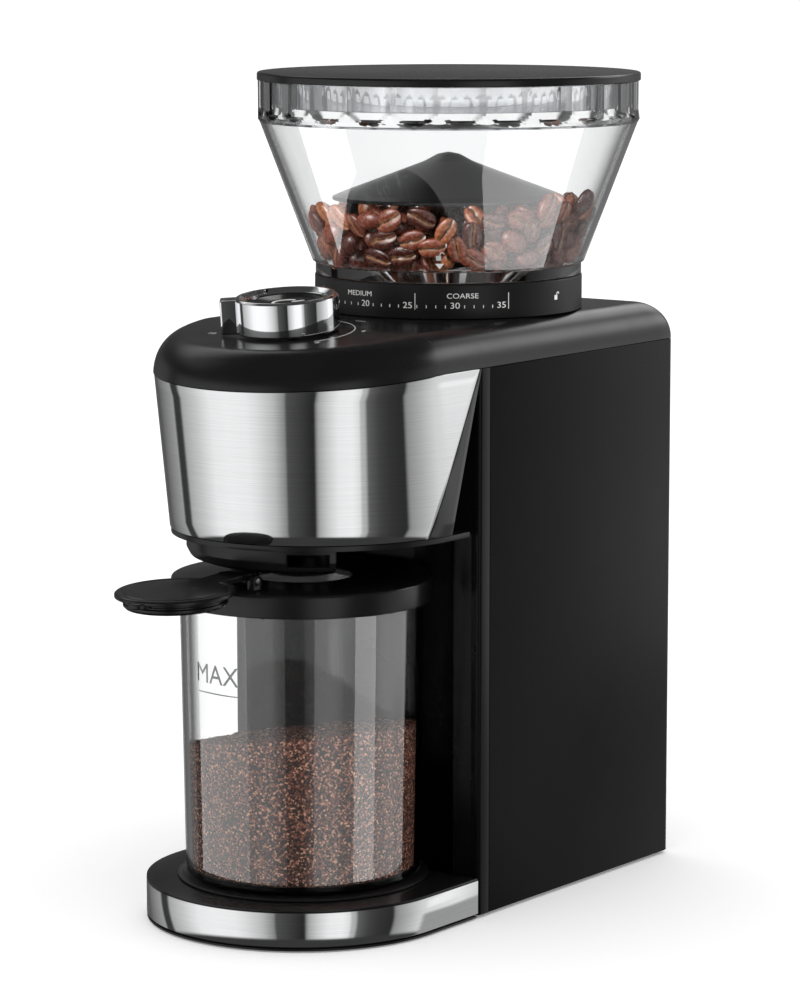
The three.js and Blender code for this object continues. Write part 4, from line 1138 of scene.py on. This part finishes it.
def max_mark():
    """MAX and a line on the jar's wall."""
    wall_lean = 1.8 / 109.5
    letters = wrapped(flat_text("MAX", 11, 1.0), 48.2, JAR_Y, -97.5, 104, wall_lean)
    steps = [-11.5 + i for i in range(24)]
    line = flat_shape([(x, -0.22) for x in steps] + [(x, 0.22) for x in reversed(steps)])
    mark = merged([letters, wrapped(line, 48.15, JAR_Y, -96, 96.8, wall_lean)])
    return solid("max_mark", *mark)


def make_scale():
    """Numbers, ticks and words on the collar, and the hopper's pointer."""
    collar = lathe("collar_ring", [
        (50.6, 238), (COLLAR_R, 238, 0.2), (COLLAR_R, 251.9, 0.6), (50.6, 251.9, 0.3),
    ], BURR_Y, sides=192, steps=4)
    add(collar, "soft", "body", "black_plastic", "scale_collar")

    step, reference, reference_azimuth = 4.0, 20, -91.7
    number_z, word_z = 243.3, 247.2
    parts = []

    def azimuth_of(setting):
        return reference_azimuth + (setting - reference) * step

    def put(part, azimuth, z):
        parts.append(wrapped(part, COLLAR_R, BURR_Y, azimuth, z))

    for setting in range(36):
        if setting % 5 == 0:
            put(flat_text(str(setting), 3.5), azimuth_of(setting), number_z)
        else:
            put(bar_shape(-0.16, 0.16, -0.95, 0.25), azimuth_of(setting), number_z)
    dividers = [-0.7, 12.5, 25.8, 35.8]
    for setting in dividers:
        put(bar_shape(-0.14, 0.14, -1.5, 5.0), azimuth_of(setting), number_z)
    for word, low, high in zip(("FINE", "MEDIUM", "COARSE"), dividers, dividers[1:]):
        put(flat_text(word, 2.9), azimuth_of((low + high) / 2), word_z)
    put(padlock(1.7), -2, 245.6)
    add(solid("scale_print", *merged(parts)), "white_print", "body", "black_plastic")

    pointer = flat_shape([(-1.7, 2.2), (0, 0), (1.7, 2.2)])
    lean = 21.7 / 58.6
    signs = merged([
        wrapped(pointer, 57.1, BURR_Y, -58, 258.3, lean),
        wrapped(padlock(1.9), 58.4, BURR_Y, -58, 263.6, lean),
    ])
    add(solid("hopper_pointer", *signs), "white_print", "hopper", "clear_plastic")


def make_deck_print():
    """Small marks round the knob: a growing arc and strength signs."""
    parts = []
    parts.append(flat_shape(arc(0, 0, 26.45, -30, 100, 60) + arc(0, 0, 26.15, 100, -30, 60)))

    def put(part, radius, azimuth, turn=0.0):
        c, s = math.cos(turn * DEG), math.sin(turn * DEG)
        cx, cy = radius * math.cos(azimuth * DEG), radius * math.sin(azimuth * DEG)
        vertices, faces = part
        parts.append(([(cx + c * x - s * y, cy + s * x + c * y, z) for x, y, z in vertices], faces))

    put(flat_text("12", 3.4), 31, 205)
    put(flat_text("2", 3.0), 29.5, -30)
    put(flat_text("4", 3.0), 30.5, 22)
    put(bar_shape(-2.4, 2.4, -0.15, 0.15), 32, 64)
    marks = solid("deck_marks", *merged(parts))
    add(moved(marks, KNOB_FRAME @ Matrix.Translation((0, 0, 0.05))), "white_print", "body", "black_plastic")


# ---- Hopper ----
FLUTES, COLUMNS_PER_FLUTE = 26, 12
FLUTE_DEPTH, FLUTE_FOOT, FOOT_RISE, FOOT_SOFTNESS = 1.6, 316.6, 2.6, 1.6
FIRST_RIDGE = -57.6     # azimuth


def make_hopper():
    """The clear funnel, whose rim has a row of scooped flutes."""
    columns = FLUTES * COLUMNS_PER_FLUTE
    straight = [(78.6, 331.2)] + [(78.6, 330.9 - 1.04 * i) for i in range(15)]
    wall = rounded([
        (78.6, 315.6, 0), (77.9, 314.6, 1), (56.2, 257.4, 0.8), (55, 256.8, 0.5), (55, 252.2, 0.4),
        (49.2, 252.2, 0.3), (49.2, 243.3, 0.3), (24.5, 243.3, 0.3), (24.5, 241.6, 0.3), (22, 241.6, 0.3),
        (22, 245.4, 0.4), (53.6, 257.6, 1.5), (76.2, 317, 1), (76.2, 331.2, 0),
    ], 0.3, 3, closed=False)
    outline = straight + wall
    rows = len(outline)
    vertices = []
    for i in range(columns):
        a = (FIRST_RIDGE + 360 * i / columns) * DEG
        across_flute = 2 * (i % COLUMNS_PER_FLUTE) / COLUMNS_PER_FLUTE - 1
        foot = FLUTE_FOOT + FOOT_RISE * across_flute ** 2
        for k, (r, z) in enumerate(outline):
            if k < len(straight):
                t = min(1.0, max(0.0, (z - foot) / FOOT_SOFTNESS))
                r -= FLUTE_DEPTH * (1 - across_flute ** 2) * t * t * (3 - 2 * t)
            vertices.append((r * math.cos(a), BURR_Y + r * math.sin(a), z))
    faces = []
    for i in range(columns):
        j = (i + 1) % columns
        for k in range(rows):
            m = (k + 1) % rows
            faces.append((i * rows + k, j * rows + k, j * rows + m, i * rows + m))
    funnel = solid("hopper_funnel", vertices, faces, 28)
    add(funnel, "hopper_clear", "hopper", "clear_plastic", "hopper_shell")

    hat = lathe("deflector_hat", [
        (0, 303.9), (4.5, 303, 4), (10, 299.9, 6), (44.5, 286.3, 5), (48.1, 284.6, 0.6), (48.1, 283.2, 0.3),
        (46.6, 283.2, 0.3), (43.6, 284.4, 2), (9, 298, 4), (0, 301.4),
    ], BURR_Y, sides=160, steps=8)
    for angle in (90, 210, 330):
        x, y = 40 * math.cos(angle * DEG), BURR_Y + 40 * math.sin(angle * DEG)
        leg = lathe("leg", [(0, 253.4), (2.4, 253.4), (2.4, 286.4), (0, 286.4)], y, x, 24)
        hat = combine(hat, "UNION", leg)
    add(hat, "deflector", "hopper", "gloss_black", "bean_deflector")

    lid = lathe("hopper_cover_disc", [
        (0, 331.5), (79, 331.5, 0.4), (79, 334.9, 1.1), (0, 334.9),
    ], BURR_Y, sides=192, steps=4)
    add(lid, "satin", "hopper_cover", "black_plastic", "hopper_lid")
    skirt = lathe("hopper_cover_skirt", [
        (72.6, 331.45), (72.6, 321.1, 0.4), (74.8, 321.1, 0.4), (74.8, 331.45),
    ], BURR_Y, sides=192, steps=4)
    add(skirt, "skirt_clear", "hopper_cover", "clear_plastic")


# ---- Coffee ----
BEAN_LENGTH, BEAN_WIDTH, BEAN_HEIGHT = 12.0, 8.6, 5.8
HUMP, FLATNESS = 1.3, 0.45      # how high the round side is, and how deep the flat side
CREASE_WIDTH, CREASE_DEPTH = 0.2, 0.4
FLAT_OUT = 0.72                 # the share of beans at the wall that show their crease


def bean_shape(rng):
    """One bean lying on its flat side: vertices, faces and how deep each vertex is in the crease."""
    around, rings = 24, 11
    size = rng.uniform(0.9, 1.08)
    plump = rng.uniform(0.92, 1.1)
    wave = rng.uniform(-0.5, 0.5)
    vertices, depth = [], []
    for k in range(rings + 1):
        u = -math.cos(math.pi * k / rings)
        girth = math.sqrt(max(0.0, 1 - u * u)) ** 0.85
        for i in range(around):
            a = 2 * math.pi * i / around
            y = math.cos(a) * girth
            z = math.sin(a) * girth
            inside = 0.0
            if z < 0:
                off_crease = (y - 0.12 * math.sin(3 * u + wave)) / CREASE_WIDTH
                inside = math.exp(-off_crease ** 2) * min(1, 2.2 * girth)
                z = FLATNESS * z + CREASE_DEPTH * inside
            vertices.append(size / 2 * Vector((
                u * BEAN_LENGTH, y * BEAN_WIDTH * plump, z * BEAN_HEIGHT * HUMP)))
            depth.append(inside)
    faces = []
    for k in range(rings):
        for i in range(around):
            j = (i + 1) % around
            faces.append((k * around + i, k * around + j, (k + 1) * around + j, (k + 1) * around + i))
    return vertices, faces, depth


def bean_places(rng):
    """Where beans lie: a layer against the clear wall, one behind it, and a loose top."""
    places = []

    def free(spot, distance):
        return all((spot - other).length > distance for other, _, _ in places)

    def fill(tries, inset, low, high, distance, against_wall):
        for _ in range(tries):
            azimuth = rng.uniform(-180, 180) * DEG
            top = high + 2.6 * math.cos(azimuth - 20 * DEG) + 1.4 * math.sin(3 * azimuth + 1)
            z = rng.uniform(low, top)
            r = along(HOPPER_WALL, z) - inset - rng.uniform(0, 0.8)
            floor = HOPPER_FLOOR[1] + (r - HOPPER_FLOOR[0]) * FLOOR_SLOPE
            if z < floor + 3.4:
                continue
            spot = Vector((r * math.cos(azimuth), BURR_Y + r * math.sin(azimuth), z))
            if free(spot, distance):
                places.append((spot, azimuth, against_wall))

    fill(3600, 4.2, 261.6, 279.6, 7.9, True)
    fill(1800, 10.5, 259, 279.0, 7.8, False)
    fill(1200, 17.5, 258, 277.0, 8.0, False)
    return places


def make_beans():
    rng = random.Random(11)
    vertices, faces, depths = [], [], []
    lean = math.atan2(HOPPER_WALL[2] - HOPPER_WALL[0], HOPPER_WALL[3] - HOPPER_WALL[1])
    for spot, azimuth, against_wall in bean_places(rng):
        shape, shape_faces, depth = bean_shape(rng)
        spin = Matrix.Rotation(rng.uniform(0, 2 * math.pi), 4, "Z")
        if against_wall:
            flip = Matrix.Rotation(math.pi, 4, "X") if rng.random() < FLAT_OUT else Matrix.Identity(4)
            tip = Matrix.Rotation(math.pi / 2 + lean + rng.uniform(-0.25, 0.25), 4, "Y")
            roll = Matrix.Rotation(rng.uniform(-0.25, 0.25), 4, "X")
            turn = Matrix.Rotation(azimuth, 4, "Z") @ roll @ tip @ flip @ spin
        else:
            tumble = Matrix.Rotation(rng.uniform(0, 6.28), 4, "X")
            turn = tumble @ Matrix.Rotation(rng.uniform(0, 6.28), 4, "Y") @ spin
        base = len(vertices)
        vertices += [spot + turn.to_3x3() @ v for v in shape]
        faces += [tuple(base + i for i in face) for face in shape_faces]
        depths += depth
    mesh = bpy.data.meshes.new("coffee_beans")
    mesh.from_pydata([v * MM for v in vertices], [], faces)
    layer = mesh.attributes.new("crease", "FLOAT", "POINT")
    layer.data.foreach_set("value", depths)
    beans = bpy.data.objects.new("coffee_beans", mesh)
    bpy.context.scene.collection.objects.link(beans)
    work = bmesh.new()
    work.from_mesh(mesh)
    bmesh.ops.remove_doubles(work, verts=work.verts, dist=1e-7)
    bmesh.ops.recalc_face_normals(work, faces=work.faces)
    work.to_mesh(mesh)
    work.free()
    add(shade(beans, 60), "bean", "hopper", "black_plastic")


def make_grounds():
    """Ground coffee: the jar's inside up to a loose, sloping top."""
    rng = random.Random(5)
    sides = 320
    floor_z, foot_z, clearance = 20.9, 22.6, 0.12
    level, radius = 74.5, 44
    u_axis, v_axis = Vector((0.807, 0.591)), Vector((-0.591, 0.807))

    def top(x, y):
        spot = Vector((x, y)) / radius
        lumps = noise.noise(Vector((x, y, 0)) * 0.11) * 1.1
        lumps += noise.noise(Vector((x, y, 7)) * 0.45) * 0.7
        return level + 4.4 * spot.dot(u_axis) - 6.5 * spot.dot(v_axis) + lumps

    def wall(z):
        return along(JAR_WALL_INNER, z) - clearance

    side_rows, top_rings = 60, 46
    vertices, faces = [], []
    for i in range(sides):
        a = 2 * math.pi * i / sides
        c, s = math.cos(a), math.sin(a)
        crest = top(c * radius, s * radius)
        column = [(0.0, floor_z), (42.4, floor_z), (wall(foot_z) - 0.7, 21.3), (wall(foot_z), foot_z)]
        for k in range(1, side_rows + 1):
            z = foot_z + (crest - foot_z) * k / side_rows
            column.append((wall(z) - rng.uniform(0, 0.1), z))
        for k in range(1, top_rings):
            r = (wall(crest) - 0.2) * (1 - k / top_rings)
            column.append((r, top(c * r, s * r) + rng.uniform(-0.35, 0.35)))
        column.append((0.0, top(0, 0)))
        vertices += [(r * c, JAR_Y + r * s, z) for r, z in column]
        rows = len(column)
    for i in range(sides):
        j = (i + 1) % sides
        faces += [(i * rows + k, j * rows + k, j * rows + k + 1, i * rows + k + 1) for k in range(rows - 1)]
    add(solid("ground_coffee", vertices, faces, 60), "grounds", "container", "black_plastic")


# ---- What keeps its CAD shape ----
def finish_cad_nodes():
    for part in frame["record"]["subparts"]:
        node = frame["nodes"][part["node"]]
        if node.hide_render:
            continue
        node.data.materials.clear()
        node.data.materials.append(FINISHES[CAD_FINISH[part["material_slot"]]])


make_camera()
make_world()
make_floor()
bpy.context.scene.view_settings.view_transform = "Standard"
FINISHES = make_materials()
make_top_cover()
make_head()
make_shroud()
make_chute()
make_tower()
make_base()
make_container()
make_cap()
make_knob()
make_scale()
make_deck_print()
make_hopper()
make_beans()
make_grounds()
finish_cad_nodes()
for name, box in SOFT_BOXES.items():
    soft_box(name, *box)
